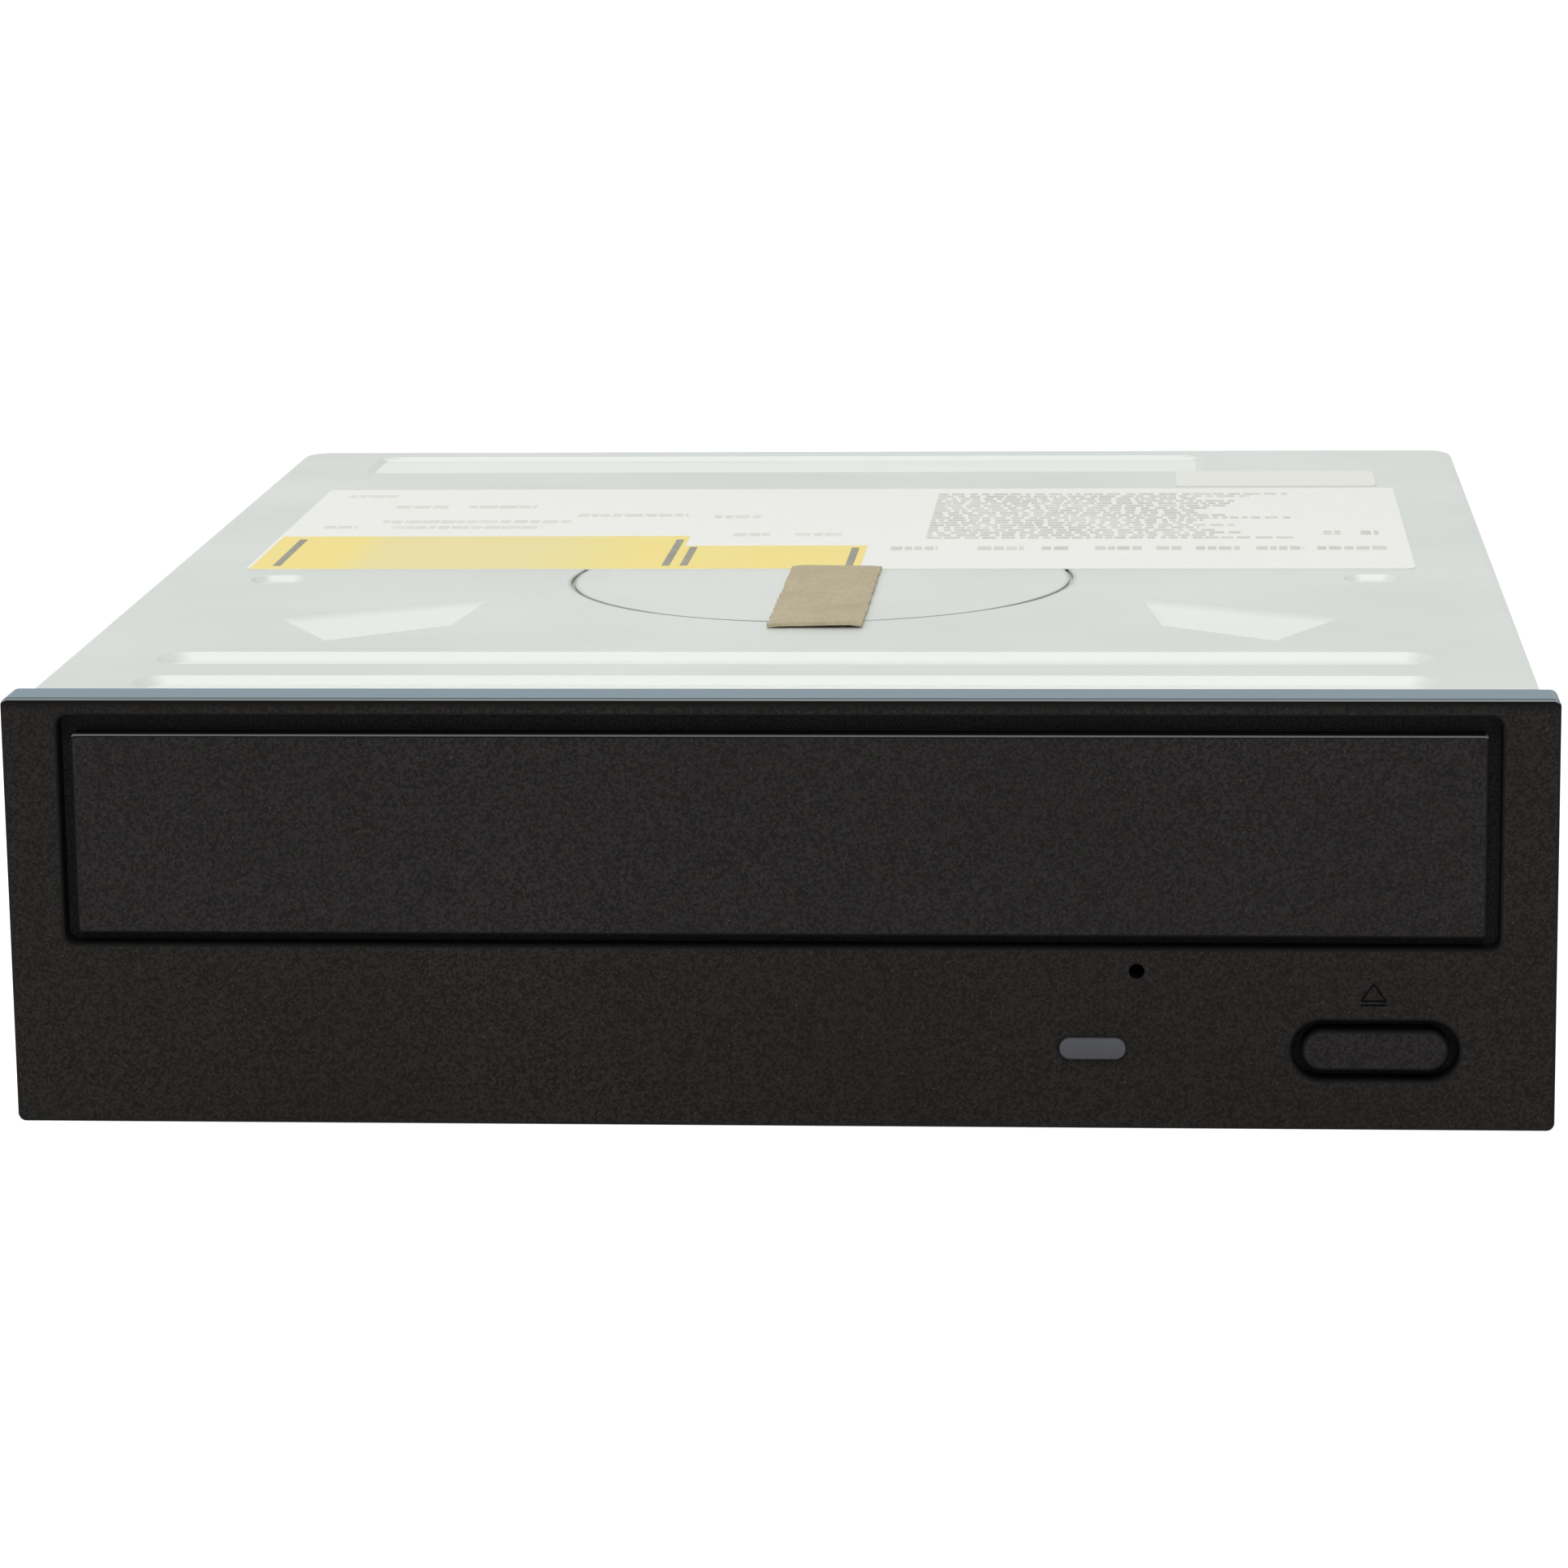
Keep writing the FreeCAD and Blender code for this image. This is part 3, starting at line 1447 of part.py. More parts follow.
def clamper():
    """The pressure disc: its flange rests over the bridge's hole, its face presses the disc."""
    flange_low = bridge_top + free_gap
    flange_z = (flange_low, flange_low + clamper_flange)
    body = post(0, spindle_y, (clamper_low, flange_low), bridge_hole - free_gap * 2)
    flange = post(0, spindle_y, flange_z, clamper_flange_radius)
    cap = post(0, spindle_y, (flange_z[1], flange_z[1] + clamper_cap), clamper_cap_radius)
    recess = post(0, spindle_y, (clamper_low, clamper_low + clamper_recess), clamper_recess_radius)
    yoke_low = clamper_low + clamper_recess
    yoke = post(0, spindle_y, (yoke_low, yoke_low + yoke_thick), yoke_radius)
    return merged([body, flange, cap]).cut([recess, yoke])


def clamper_yoke():
    yoke_low = clamper_low + clamper_recess
    return post(0, spindle_y, (yoke_low, yoke_low + yoke_thick), yoke_radius)


# Sled and lens

def pickup_body():
    body = block(around(0, sled_half_width), (sled_front, sled_back), (sled_low, sled_top))
    bearing_z = (rod_z - rod_radius - sheet, rod_z + rod_radius + sheet)
    first = sled_front + slider_gap
    ends = [(sled_back - bearing_length, sled_back), (first, first + bearing_length)]
    pieces = [body]
    for y in ends:
        pieces.append(block((-rod_x - bearing_reach, -sled_half_width), y, bearing_z))
    right = around(lens_rest_y, bearing_length / 2)
    pieces.append(block((sled_half_width, rod_x + bearing_reach), right, bearing_z))
    cuts = [
        post(0, spindle_y, (sled_low, sled_top), sled_round),
        block(around(0, actuator_half_width), (actuator_front, actuator_back), (actuator_floor, sled_top)),
    ]
    for hand in HANDS:
        cuts.append(pin_along_y(hand * rod_x, (sled_front, sled_back), rod_z, rod_radius + running_fit))
    return merged(pieces).cut(cuts)


def pickup_cover():
    """A thin sheet over the sled, open round the lens."""
    z = (sled_top, sled_top + pickup_cover_sheet)
    plate = block(around(0, sled_half_width), (sled_front, sled_back), z)
    return plate.cut([
        post(0, spindle_y, (sled_top, sled_top + pickup_cover_sheet), sled_round),
        block(around(0, actuator_half_width - sheet), (actuator_front + sheet, actuator_back - sheet),
              (sled_top, sled_top + pickup_cover_sheet)),
    ])


def laser_diodes():
    z = (sled_low + sled_top) / 2
    left_y = (sled_front + slider_gap + bearing_length + sled_back - bearing_length) / 2
    right_y = sled_back - laser_radius - sheet
    left = pin_along_x((-sled_half_width - laser_length, -sled_half_width), left_y, z, laser_radius)
    right = pin_along_x((sled_half_width, sled_half_width + laser_length), right_y, z, laser_radius)
    return group([left, right])


def sled_nut():
    """A half nut on the sled's arm, under the lead screw."""
    y = around(lens_rest_y, nut_length / 2)
    body = block((rod_x + bearing_reach, screw_x + nut_half_width), y, (rod_z - nut_depth, rod_z))
    return body.cut(pin_along_y(screw_x, y, rod_z, lead_screw_radius + running_fit))


def lens_holder():
    body = rounded_plate(around(0, holder_half_width), around(lens_rest_y, holder_half_length),
                         (holder_low, holder_top), case_fold)
    seat = post(0, lens_rest_y, (holder_top - lens_height / 2, holder_top), lens_radius)
    return body.cut(seat)


def objective_lens():
    low = holder_top - lens_height / 2
    disc = post(0, lens_rest_y, (low, holder_top), lens_radius)
    dome = cone(0, lens_rest_y, (holder_top, holder_top + lens_height / 2), lens_radius,
                lens_radius * dome_share)
    return merged([disc, dome])


def guide_rods():
    return group([pin_along_y(hand * rod_x, (rod_front, rod_back), rod_z, rod_radius) for hand in HANDS])


def lead_screw():
    start = sled_motor_front + sled_motor_length - free_gap * 3
    return pin_along_y(screw_x, (start, lead_screw_end), rod_z, lead_screw_radius)


def sled_motor():
    y = (sled_motor_front, sled_motor_front + sled_motor_length)
    can = pin_along_y(screw_x, y, rod_z, sled_motor_radius)
    bore = pin_along_y(screw_x, (y[1] - free_gap * 4, y[1]), rod_z, lead_screw_radius + running_fit)
    return can.cut(bore)


# Bezel, button and lamp

def front_edges(body, x, z):
    """The edges in the front plane that lie within a rectangle."""
    def inside(box):
        across = x[0] - edge_tolerance < box.XMin and box.XMax < x[1] + edge_tolerance
        upright = z[0] - edge_tolerance < box.ZMin and box.ZMax < z[1] + edge_tolerance
        return near(box.YMin, front) and near(box.YMax, front) and across and upright

    return edges_where(body, inside)


def front_bezel():
    half = bezel_half
    body = block((-half, half), (front, body_front), (0, bezel_height))
    uprights = edges_where(body, lambda box: box.YLength > bezel_depth / 2)
    body = body.makeFillet(bezel_corner, uprights)
    body = body.makeFillet(bezel_edge, front_edges(body, (-half, half), (0, bezel_height)))
    moat_x = (-door_half - door_gap_side, door_half + door_gap_side)
    moat_z = (door_low - door_gap_low, door_high + door_gap_high)
    body = body.cut(rounded_front_plate(moat_x, moat_z, (front, moat_back), moat_corner))
    body = body.makeFillet(moat_edge, front_edges(body, moat_x, moat_z))
    opening = rounded_front_plate((-bezel_open_half, bezel_open_half), (bezel_open_low, bezel_open_high),
                                  (front, body_front), door_corner)
    lower_top = door_low - door_gap_low - bezel_shelf
    hollow = block((-half + bezel_rim, half - bezel_rim), (wall_back, body_front), (bezel_rim, lower_top))
    body = body.cut([opening, hollow])
    guide = pin_along_y(pinhole_x, (wall_back, body_front - case_play), pinhole_z, pinhole_radius + sheet)
    guide = guide.common(block(around(pinhole_x, bezel_rim), (front, body_front), (0, lower_top)))
    body = merged([body, guide] + bezel_clips())
    body = body.cut(bezel_holes() + [eject_mark()])
    button_moat_x = around(button_x, button_moat_width / 2)
    button_moat_z = around(button_z, button_moat_height / 2)
    return body.makeFillet(moat_edge, front_edges(body, button_moat_x, button_moat_z))


def bezel_clips():
    """Side tongues with a bump that snaps into the cover's slot."""
    clips = []
    for hand in HANDS:
        outer = inner_side - free_gap
        clips.append(block(sided(hand, outer - clip_thick, outer), (body_front, body_front + clip_reach),
                           (clip_low, clip_high)))
        y0 = body_front + clip_bump_front
        y1 = body_front + clip_bump_back
        z = (clip_low + sheet + case_play, clip_high - sheet - case_play)
        ramp = [(hand * outer, y0), (hand * side, y0), (hand * outer, y1)]
        clips.append(slab(ramp, z))
    return clips


def bezel_holes():
    pill = rounded_front_plate(around(lamp_x, pill_width / 2 + running_fit),
                               around(lamp_z, pill_height / 2 + running_fit),
                               (front, wall_back), pill_height * round_end_share)
    moat = rounded_front_plate(around(button_x, button_moat_width / 2),
                               around(button_z, button_moat_height / 2),
                               (front, wall_back), button_moat_height * round_end_share)
    pinhole = pin_along_y(pinhole_x, (front, body_front), pinhole_z, pinhole_radius)
    return [pill, moat, pinhole]


def engraved_line(start, end):
    """A straight cut of the mark's line width; both ends are x and z on the bezel's face."""
    run = (end[0] - start[0], end[1] - start[1])
    half_share = mark_line / 2 / math.hypot(*run)
    aside = (-run[1] * half_share, run[0] * half_share)
    corners = [(start[0] + aside[0], start[1] + aside[1]), (end[0] + aside[0], end[1] + aside[1]),
               (end[0] - aside[0], end[1] - aside[1]), (start[0] - aside[0], start[1] - aside[1])]
    return slab_facing_front(corners, (front, front + mark_depth))


def eject_mark():
    """The outline of a triangle over a bar, cut as thin lines into the bezel."""
    left = mark_x - mark_half_width
    right = mark_x + mark_half_width
    bar_z = mark_base_z - mark_bar_drop
    corners = [(left, mark_base_z), (right, mark_base_z), (mark_x, mark_base_z + mark_height)]
    lines = [engraved_line(start, end) for start, end in zip(corners, corners[1:] + corners[:1])]
    return merged(lines + [engraved_line((left, bar_z), (right, bar_z))])


def light_pipe():
    pill = rounded_front_plate(around(lamp_x, pill_width / 2), around(lamp_z, pill_height / 2),
                               (front - pill_out, wall_back), pill_height * round_end_share)
    pill_front = front - pill_out
    rim = edges_where(pill, lambda box: near(box.YMin, pill_front) and near(box.YMax, pill_front))
    pill = pill.makeFillet(pill_edge, rim)
    flange = block(around(lamp_x, pill_width / 2 + pipe_flange), (wall_back, wall_back + pipe_flange_depth),
                   around(lamp_z, pill_height / 2 + pipe_flange))
    stub_back = lamp_front - free_gap
    stub = block(around(lamp_x, lamp_radius), (wall_back, stub_back), around(lamp_z, pill_height / 2))
    return merged([pill, flange, stub])


def eject_button():
    cap = rounded_front_plate(around(button_x, button_width / 2), around(button_z, button_height / 2),
                              (front, button_back), button_height * round_end_share)
    rim = edges_where(cap, lambda box: near(box.YMin, front) and near(box.YMax, front))
    cap = cap.makeFillet(button_edge, rim)
    flange = block(around(button_x, button_moat_width / 2 + button_flange),
                   (button_back - button_flange_depth, button_back),
                   around(button_z, button_moat_height / 2 + button_flange))
    stem = block(around(button_x, button_stem_width / 2), (button_back, stem_back),
                 around(button_z, button_stem_height / 2))
    return merged([cap, flange, stem])


def switch_body():
    y = (switch_front, switch_front + switch_depth)
    body = block(around(button_x, switch_width / 2), y, (front_board_top, front_board_top + switch_height))
    return body.cut(pin_along_y(button_x, (y[0], y[0] + plunger_in + plunger_travel + free_gap), button_z,
                                plunger_radius + running_fit))


def switch_plunger():
    y = (switch_front - plunger_out, switch_front + plunger_in)
    return pin_along_y(button_x, y, button_z, plunger_radius)


def lamp():
    """A small round lamp lying on the front board, with its two legs bent down."""
    y = (lamp_front, lamp_front + lamp_length)
    bulb = pin_along_y(lamp_x, y, lamp_z, lamp_radius)
    foot = pin_along_y(lamp_x, (y[1], y[1] + sheet), lamp_z, lamp_radius + free_gap)
    pieces = [bulb, foot]
    for hand in HANDS:
        leg_x = around(lamp_x + hand * data_pin_pitch / 2, pin_size / 2)
        leg_y = (y[1] + sheet / 2, y[1] + sheet / 2 + pin_size)
        pieces.append(block(leg_x, leg_y, (front_board_top, lamp_z)))
    return merged(pieces)


# Boards and small parts

def main_board():
    z = (main_board_low, main_board_top)
    board = block((-main_board_half, main_board_half), (main_board_front, main_board_back), z)
    cuts = []
    for hand in HANDS:
        cuts.append(block(sided(hand, back_boss_x - boss_radius - free_gap, main_board_half),
                          (back_boss_y - boss_radius - free_gap, main_board_back), z))
    cuts += [post(x, y, z, board_screw_radius + case_play) for x, y in board_screw_places]
    return board.cut(cuts)


def front_board():
    z = (front_board_low, front_board_top)
    board = block((front_board_left, front_board_right), (front_board_front, front_board_back), z)
    return board.cut([post(x, y, z, board_screw_radius + case_play) for x, y in front_screw_places])


def board_screws():
    screws = []
    for places, under, seat in ((board_screw_places, main_board_low, main_board_top),
                                (front_screw_places, front_board_low, front_board_top)):
        for x, y in places:
            head = post(x, y, (under - board_screw_head_height, under), board_screw_head)
            shank = post(x, y, (under, seat + board_boss_height - free_gap), board_screw_radius)
            low = under - board_screw_head_height
            cross = cross_recess(x, y, (low, low + sheet / 2), medium_cross)
            screws.append(merged([head, shank]).cut(cross))
    return group(screws)


def chip(x, y, width, length):
    """A flat package under the main board, with a chamfered edge."""
    low = main_board_low - chip_thick
    body = block(around(x, width / 2), around(y, length / 2), (low, main_board_low))
    return body.makeChamfer(chip_edge, edges_where(body, lambda box: near(box.ZMax, low)))


def controller_chip():
    return chip(*controller_place, *controller_size)


def motor_driver_chip():
    return chip(*driver_place, *driver_size)


def memory_chips():
    return group([chip(*memory_place, *memory_size), chip(*flash_place, *flash_size)])


def capacitors():
    """Small can capacitors on the board, outside the lift's path."""
    cans = []
    high = main_board_top + capacitor_height
    for hand, reach in capacitor_rows:
        y = main_board_front + reach
        can = post(hand * capacitor_x, y, (main_board_top, high), capacitor_radius)
        cans.append(can.makeFillet(sheet / 2, edges_where(can, lambda box: near(box.ZMin, high))))
    return group(cans)


def crystal():
    return rounded_plate((crystal_left, crystal_left + crystal_length),
                         (crystal_front, crystal_front + crystal_width),
                         (main_board_low - crystal_height, main_board_low), crystal_width * round_end_share)


def cable_sockets():
    """Flat sockets for the ribbon cables: two on the main board's underside, one on the front board."""
    under = (main_board_low - socket_height, main_board_low)
    front_under = (front_board_low - sheet, front_board_low)
    y = (main_board_front + sheet, main_board_front + socket_depth)
    front_y = (front_board_back - socket_depth, front_board_back - sheet)
    return group([
        block((socket_left, socket_left + socket_width), y, under),
        block((small_socket_left, small_socket_left + small_socket_width), y, under),
        block((cable_left - sheet, cable_left + cable_width + sheet), front_y, front_under),
    ])


def front_cable():
    """The ribbon between the boards: along the floor, with its ends turned up to each board."""
    thick = cable_thick
    low = floor + floor_press_depth + free_gap
    y0 = front_board_back + sheet
    y1 = main_board_front + socket_depth
    outline = [
        (y0, low), (y1, low), (y1, main_board_low), (y1 - thick, main_board_low),
        (y1 - thick, low + thick), (y0 + thick, low + thick), (y0 + thick, front_board_top),
        (y0, front_board_top),
    ]
    return slab_facing_side(outline, (cable_left, cable_left + cable_width))


# Connectors

def shroud(x, width, height, depth, wall):
    """An open box that faces the back."""
    z = (connector_low, connector_low + height)
    outer = block(around(x, width / 2), (shroud_back - depth, shroud_back), z)
    inner = block(around(x, width / 2 - wall),
                  (shroud_back - depth + wall * shroud_floor_share, shroud_back),
                  (z[0] + wall, z[1] - wall))
    return outer.cut(inner)


def power_connector():
    body = shroud(power_x, power_width, power_height, power_depth, power_wall)
    corner = power_height * power_corner_share
    high = connector_low + power_height
    cuts = []
    fills = []
    for hand in HANDS:
        edge = power_x + hand * power_width / 2
        cuts.append(slab_facing_front([(edge, high), (edge - hand * corner, high), (edge, high - corner)],
                                      (shroud_back - power_depth, shroud_back)))
        inner = edge - hand * power_wall
        roof = high - power_wall
        fills.append(slab_facing_front([(inner, roof), (inner - hand * corner, roof),
                                        (inner, roof - corner)],
                                       (shroud_back - power_depth, shroud_back)))
    return merged([body] + fills).cut(cuts)


def data_connector():
    body = shroud(data_x, data_width, data_height, data_depth, data_wall)
    high = connector_low + data_height
    key = block(around(data_x, key_width / 2), (shroud_back - data_depth + data_wall * 3, shroud_back),
                (high - data_wall, high))
    return body.cut(key)


def jumper_block():
    width = jumper_columns * data_pin_pitch
    y1 = shroud_back - cap_length - sheet
    return block(around(jumper_x, width / 2), (y1 - jumper_block_depth, y1),
                 (connector_low, connector_low + jumper_block_height))


def jumper_cap():
    x = jumper_x + data_pin_pitch
    y0 = shroud_back - cap_length - sheet
    middle = connector_low + jumper_block_height / 2
    body = block(around(x, data_pin_pitch * cap_fill_share), (y0, shroud_back),
                 around(middle, data_pin_pitch))
    room = [block(around(x, pin_size / 2), (y0, shroud_back - sheet), around(z, pin_size / 2))
            for z in around(middle, data_pin_pitch / 2)]
    return body.cut(room)


def audio_connectors():
    return group([
        shroud(audio_x, audio_width, audio_height, audio_depth, audio_wall),
        shroud(digital_x, digital_width, audio_height, audio_depth, audio_wall),
    ])


def square_pin(x, y, z):
    return block(around(x, pin_size / 2), y, around(z, pin_size / 2))


def columns(middle, count, pitch):
    return [middle + (index - (count - 1) / 2) * pitch for index in range(count)]


def connector_pins():
    """All contact pins: each stands in the back wall of its shroud."""
    pins = []
    power_z = connector_low + power_height / 2
    floor_y = shroud_back - power_depth + power_wall * shroud_floor_share
    for x in columns(power_x, 4, power_pin_pitch):
        pins.append(pin_along_y(x, (floor_y, shroud_back - pin_recess), power_z, power_pin_radius))
    data_z = connector_low + data_height / 2
    floor_y = shroud_back - data_depth + data_wall * shroud_floor_share
    for x in columns(data_x, data_columns, data_pin_pitch):
        for z in around(data_z, data_pin_pitch / 2):
            pins.append(square_pin(x, (floor_y, shroud_back - pin_recess), z))
    jumper_z = connector_low + jumper_block_height / 2
    block_back = shroud_back - cap_length - sheet
    for x in columns(jumper_x, jumper_columns, data_pin_pitch):
        for z in around(jumper_z, data_pin_pitch / 2):
            pins.append(square_pin(x, (block_back, shroud_back - sheet), z))
    audio_z = connector_low + audio_height / 2
    floor_y = shroud_back - audio_depth + audio_wall * shroud_floor_share
    places = columns(audio_x, 4, data_pin_pitch) + columns(digital_x, 2, data_pin_pitch)
    for x in places:
        pins.append(square_pin(x, (floor_y, shroud_back - pin_recess), audio_z))
    return group(pins)


PIECES = {
    "top_cover": top_cover,
    "bottom_cover": bottom_cover,
    "bottom_cover_screws": case_screws,
    "main_frame": main_frame,
    "rating_label": rating_label,
    "blank_sticker": blank_sticker,
    "cover_tape": cover_tape,
    "clamp_bridge": clamp_bridge,
    "clamp_bridge_screws": clamp_bridge_screws,
    "disc_tray": disc_tray,
    "tray_door": tray_door,
    "pulley_gear": pulley_gear,
    "loading_gear": loading_gear,
    "motor_pulley": motor_pulley,
    "loading_motor": loading_motor,
    "loading_motor_screws": loading_motor_screws,
    "drive_belt": drive_belt,
    "cam_slider": cam_slider,
    "lift_frame": lift_frame,
    "traverse_base": traverse_base,
    "dampers": dampers,
    "damper_screws": damper_screws,
    "spindle_base": spindle_base,
    "spindle_stator": spindle_stator,
    "spindle_rotor": spindle_rotor,
    "turntable": turntable,
    "turntable_ring": turntable_ring,
    "clamper": clamper,
    "clamper_yoke": clamper_yoke,
    "pickup_body": pickup_body,
    "pickup_cover": pickup_cover,
    "laser_diodes": laser_diodes,
    "sled_nut": sled_nut,
    "lens_holder": lens_holder,
    "objective_lens": objective_lens,
    "guide_rods": guide_rods,
    "lead_screw": lead_screw,
    "sled_motor": sled_motor,
    "front_bezel": front_bezel,
    "light_pipe": light_pipe,
    "eject_button": eject_button,
    "switch_body": switch_body,
    "switch_plunger": switch_plunger,
    "lamp": lamp,
    "main_board": main_board,
    "front_board": front_board,
    "board_screws": board_screws,
    "controller_chip": controller_chip,
    "motor_driver_chip": motor_driver_chip,
    "memory_chips": memory_chips,
    "capacitors": capacitors,
    "crystal": crystal,
    "cable_sockets": cable_sockets,
    "front_cable": front_cable,
    "power_connector": power_connector,
    "data_connector": data_connector,
    "jumper_block": jumper_block,
    "jumper_cap": jumper_cap,
    "audio_connectors": audio_connectors,
    "connector_pins": connector_pins,
}

os.makedirs("parts", exist_ok=True)
for piece_name, make in PIECES.items():
    save(piece_name, make())
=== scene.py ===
import math
import random

import bmesh
import bpy
from mathutils import Matrix, Vector


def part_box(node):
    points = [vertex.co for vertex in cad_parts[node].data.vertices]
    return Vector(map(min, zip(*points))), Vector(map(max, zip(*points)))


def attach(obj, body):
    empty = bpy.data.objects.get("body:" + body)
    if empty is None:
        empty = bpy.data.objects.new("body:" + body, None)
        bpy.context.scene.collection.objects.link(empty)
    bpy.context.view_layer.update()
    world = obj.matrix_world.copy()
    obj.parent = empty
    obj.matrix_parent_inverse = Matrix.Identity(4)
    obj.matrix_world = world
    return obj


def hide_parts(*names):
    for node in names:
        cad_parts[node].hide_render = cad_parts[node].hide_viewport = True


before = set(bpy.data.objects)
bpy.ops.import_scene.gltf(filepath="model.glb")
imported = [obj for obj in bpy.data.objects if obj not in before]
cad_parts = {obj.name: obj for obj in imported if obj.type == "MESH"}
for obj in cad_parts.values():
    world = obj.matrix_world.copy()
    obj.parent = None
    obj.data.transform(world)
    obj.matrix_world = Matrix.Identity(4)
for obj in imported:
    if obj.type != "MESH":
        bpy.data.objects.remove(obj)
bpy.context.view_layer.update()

MM = 0.001

# Bottom cover: the pan that closes the case from below.
# Zinc-coated steel sheet 0.8 mm thick, pressed with two shallow fields and four screw cups.
# The tapped collars take the screws of the computer's drive cage.


def shader_node(tree, kind, values=None, **settings):
    """Adds a node; a value that is another node's socket is linked."""
    made = tree.nodes.new("ShaderNode" + kind)
    for name, value in settings.items():
        setattr(made, name, value)
    for name, value in (values or {}).items():
        if isinstance(value, bpy.types.NodeSocket):
            tree.links.new(value, made.inputs[name])
        else:
            made.inputs[name].default_value = value
    return made


def new_finish(name, metallic=0.0, specular=0.5):
    """A material with its node tree, its shader and its Object coordinates."""
    material = bpy.data.materials.new(name)
    material.use_nodes = True
    tree = material.node_tree
    shader = tree.nodes["Principled BSDF"]
    shader.inputs["Metallic"].default_value = metallic
    shader.inputs["Specular IOR Level"].default_value = specular
    return material, tree, shader, shader_node(tree, "TexCoord").outputs["Object"]


def cloud(tree, where, per_metre, detail=3.0, roughness=0.5):
    """Noise with features about one part in per_metre of a metre wide."""
    values = {"Vector": where, "Scale": per_metre, "Detail": detail, "Roughness": roughness}
    return shader_node(tree, "TexNoise", values).outputs[0]


def banded(tree, factor, stops):
    """A colour ramp; each stop is a place and a grey value or a colour."""
    node = shader_node(tree, "ValToRGB", {"Fac": factor})
    marks = node.color_ramp.elements
    while len(marks) < len(stops):
        marks.new(0.5)
    for mark, (place, value) in zip(marks, stops):
        mark.position = place
        mark.color = (*value, 1.0) if isinstance(value, tuple) else (value, value, value, 1.0)
    return node.outputs[0]


def mixed(tree, factor, first, second, blend="MIX"):
    """Blends two colours; each may be a socket or a colour."""
    node = shader_node(tree, "Mix", data_type="RGBA", blend_type=blend)
    for index, value in ((0, factor), (6, first), (7, second)):
        if isinstance(value, bpy.types.NodeSocket):
            tree.links.new(value, node.inputs[index])
        else:
            node.inputs[index].default_value = (*value, 1.0) if isinstance(value, tuple) else value
    return node.outputs[2]


def calculated(tree, operation, first, second=0.0, third=0.0):
    node = shader_node(tree, "Math", operation=operation)
    for index, value in enumerate((first, second, third)):
        if isinstance(value, bpy.types.NodeSocket):
            tree.links.new(value, node.inputs[index])
        else:
            node.inputs[index].default_value = value
    return node.outputs[0]


def relief(tree, shader, height, depth_mm, strength=1.0):
    """Bump on the shader's normal, its depth in millimetres."""
    values = {"Height": height, "Distance": depth_mm * MM, "Strength": strength}
    tree.links.new(shader_node(tree, "Bump", values).outputs[0], shader.inputs["Normal"])


def coloured(tree, shader, colour, rough):
    tree.links.new(colour, shader.inputs["Base Color"])
    tree.links.new(rough, shader.inputs["Roughness"])


def dress(finish, *names):
    """Gives CAD nodes their finish in place of the plain import."""
    for name in names:
        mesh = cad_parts[name].data
        mesh.materials.clear()
        mesh.materials.append(finish)


def zinc_steel(name, colour, shade):
    """Satin zinc coat: faint clouds, a fine grain from the rolls and a few rubbed spots."""
    material, tree, shader, where = new_finish(name, metallic=0.45, specular=0.5)
    clouds = cloud(tree, where, 28.0, 4.0)
    tone = mixed(tree, banded(tree, clouds, ((0.35, 0.0), (0.65, 1.0))), colour, shade)
    rubbed = banded(tree, cloud(tree, where, 75.0, 7.0, 0.7), ((0.62, 0.0), (0.74, 1.0)))
    worn = tuple(0.72 * part for part in colour)
    tone = mixed(tree, calculated(tree, "MULTIPLY", rubbed, 0.4), tone, worn)
    coloured(tree, shader, tone, banded(tree, clouds, ((0.0, 0.40), (1.0, 0.52))))
    relief(tree, shader, cloud(tree, where, 2600.0, 2.0), 0.010, 0.5)
    return material, tree, shader, where, tone


dress(zinc_steel("zinc_steel_floor", (0.64, 0.67, 0.64), (0.58, 0.61, 0.58))[0], "bottom_cover")

# Case and board screws: small pan-head steel screws with a cross recess.
# Zinc plated and bright, turned and rolled, driven from below or from above.


def plated_steel(name, colour, rough_low, rough_high, metallic=1.0):
    material, tree, shader, where = new_finish(name, metallic=metallic)
    turned = cloud(tree, where, 900.0, 3.0)
    tone = mixed(tree, turned, colour, tuple(0.86 * part for part in colour))
    coloured(tree, shader, tone, banded(tree, turned, ((0.3, rough_low), (0.7, rough_high))))
    relief(tree, shader, cloud(tree, where, 4200.0, 2.0), 0.006, 0.4)
    return material


dress(plated_steel("screw_plating", (0.62, 0.62, 0.63), 0.22, 0.34), "bottom_cover_screws",
      "clamp_bridge_screws", "loading_motor_screws", "damper_screws", "board_screws")

# Boards: the main board at the back and the small front board behind the bezel.
# Green solder mask over copper tracks on glass-filled epoxy, screwed up to bosses of the frame.


def solder_mask(name, mask, track):
    material, tree, shader, where = new_finish(name, specular=0.5)
    spread = shader_node(tree, "Mapping", {"Vector": where, "Scale": (1.0, 0.62, 1.0)}).outputs[0]
    cells = shader_node(tree, "TexVoronoi", {"Vector": spread, "Scale": 330.0, "Randomness": 0.55},
                        feature="DISTANCE_TO_EDGE", distance="MANHATTAN").outputs["Distance"]
    tracks = banded(tree, cells, ((0.06, 1.0), (0.10, 0.0)))
    tone = mixed(tree, tracks, mask, track)
    holes = shader_node(tree, "TexVoronoi", {"Vector": where, "Scale": 210.0, "Randomness": 0.8},
                        feature="F1").outputs["Distance"]
    vias = banded(tree, holes, ((0.10, 1.0), (0.13, 0.0)))
    tone = mixed(tree, vias, tone, (0.45, 0.42, 0.33))
    coloured(tree, shader, tone, banded(tree, cloud(tree, where, 300.0), ((0.3, 0.24), (0.7, 0.36))))
    relief(tree, shader, tracks, 0.03, 0.6)
    return material


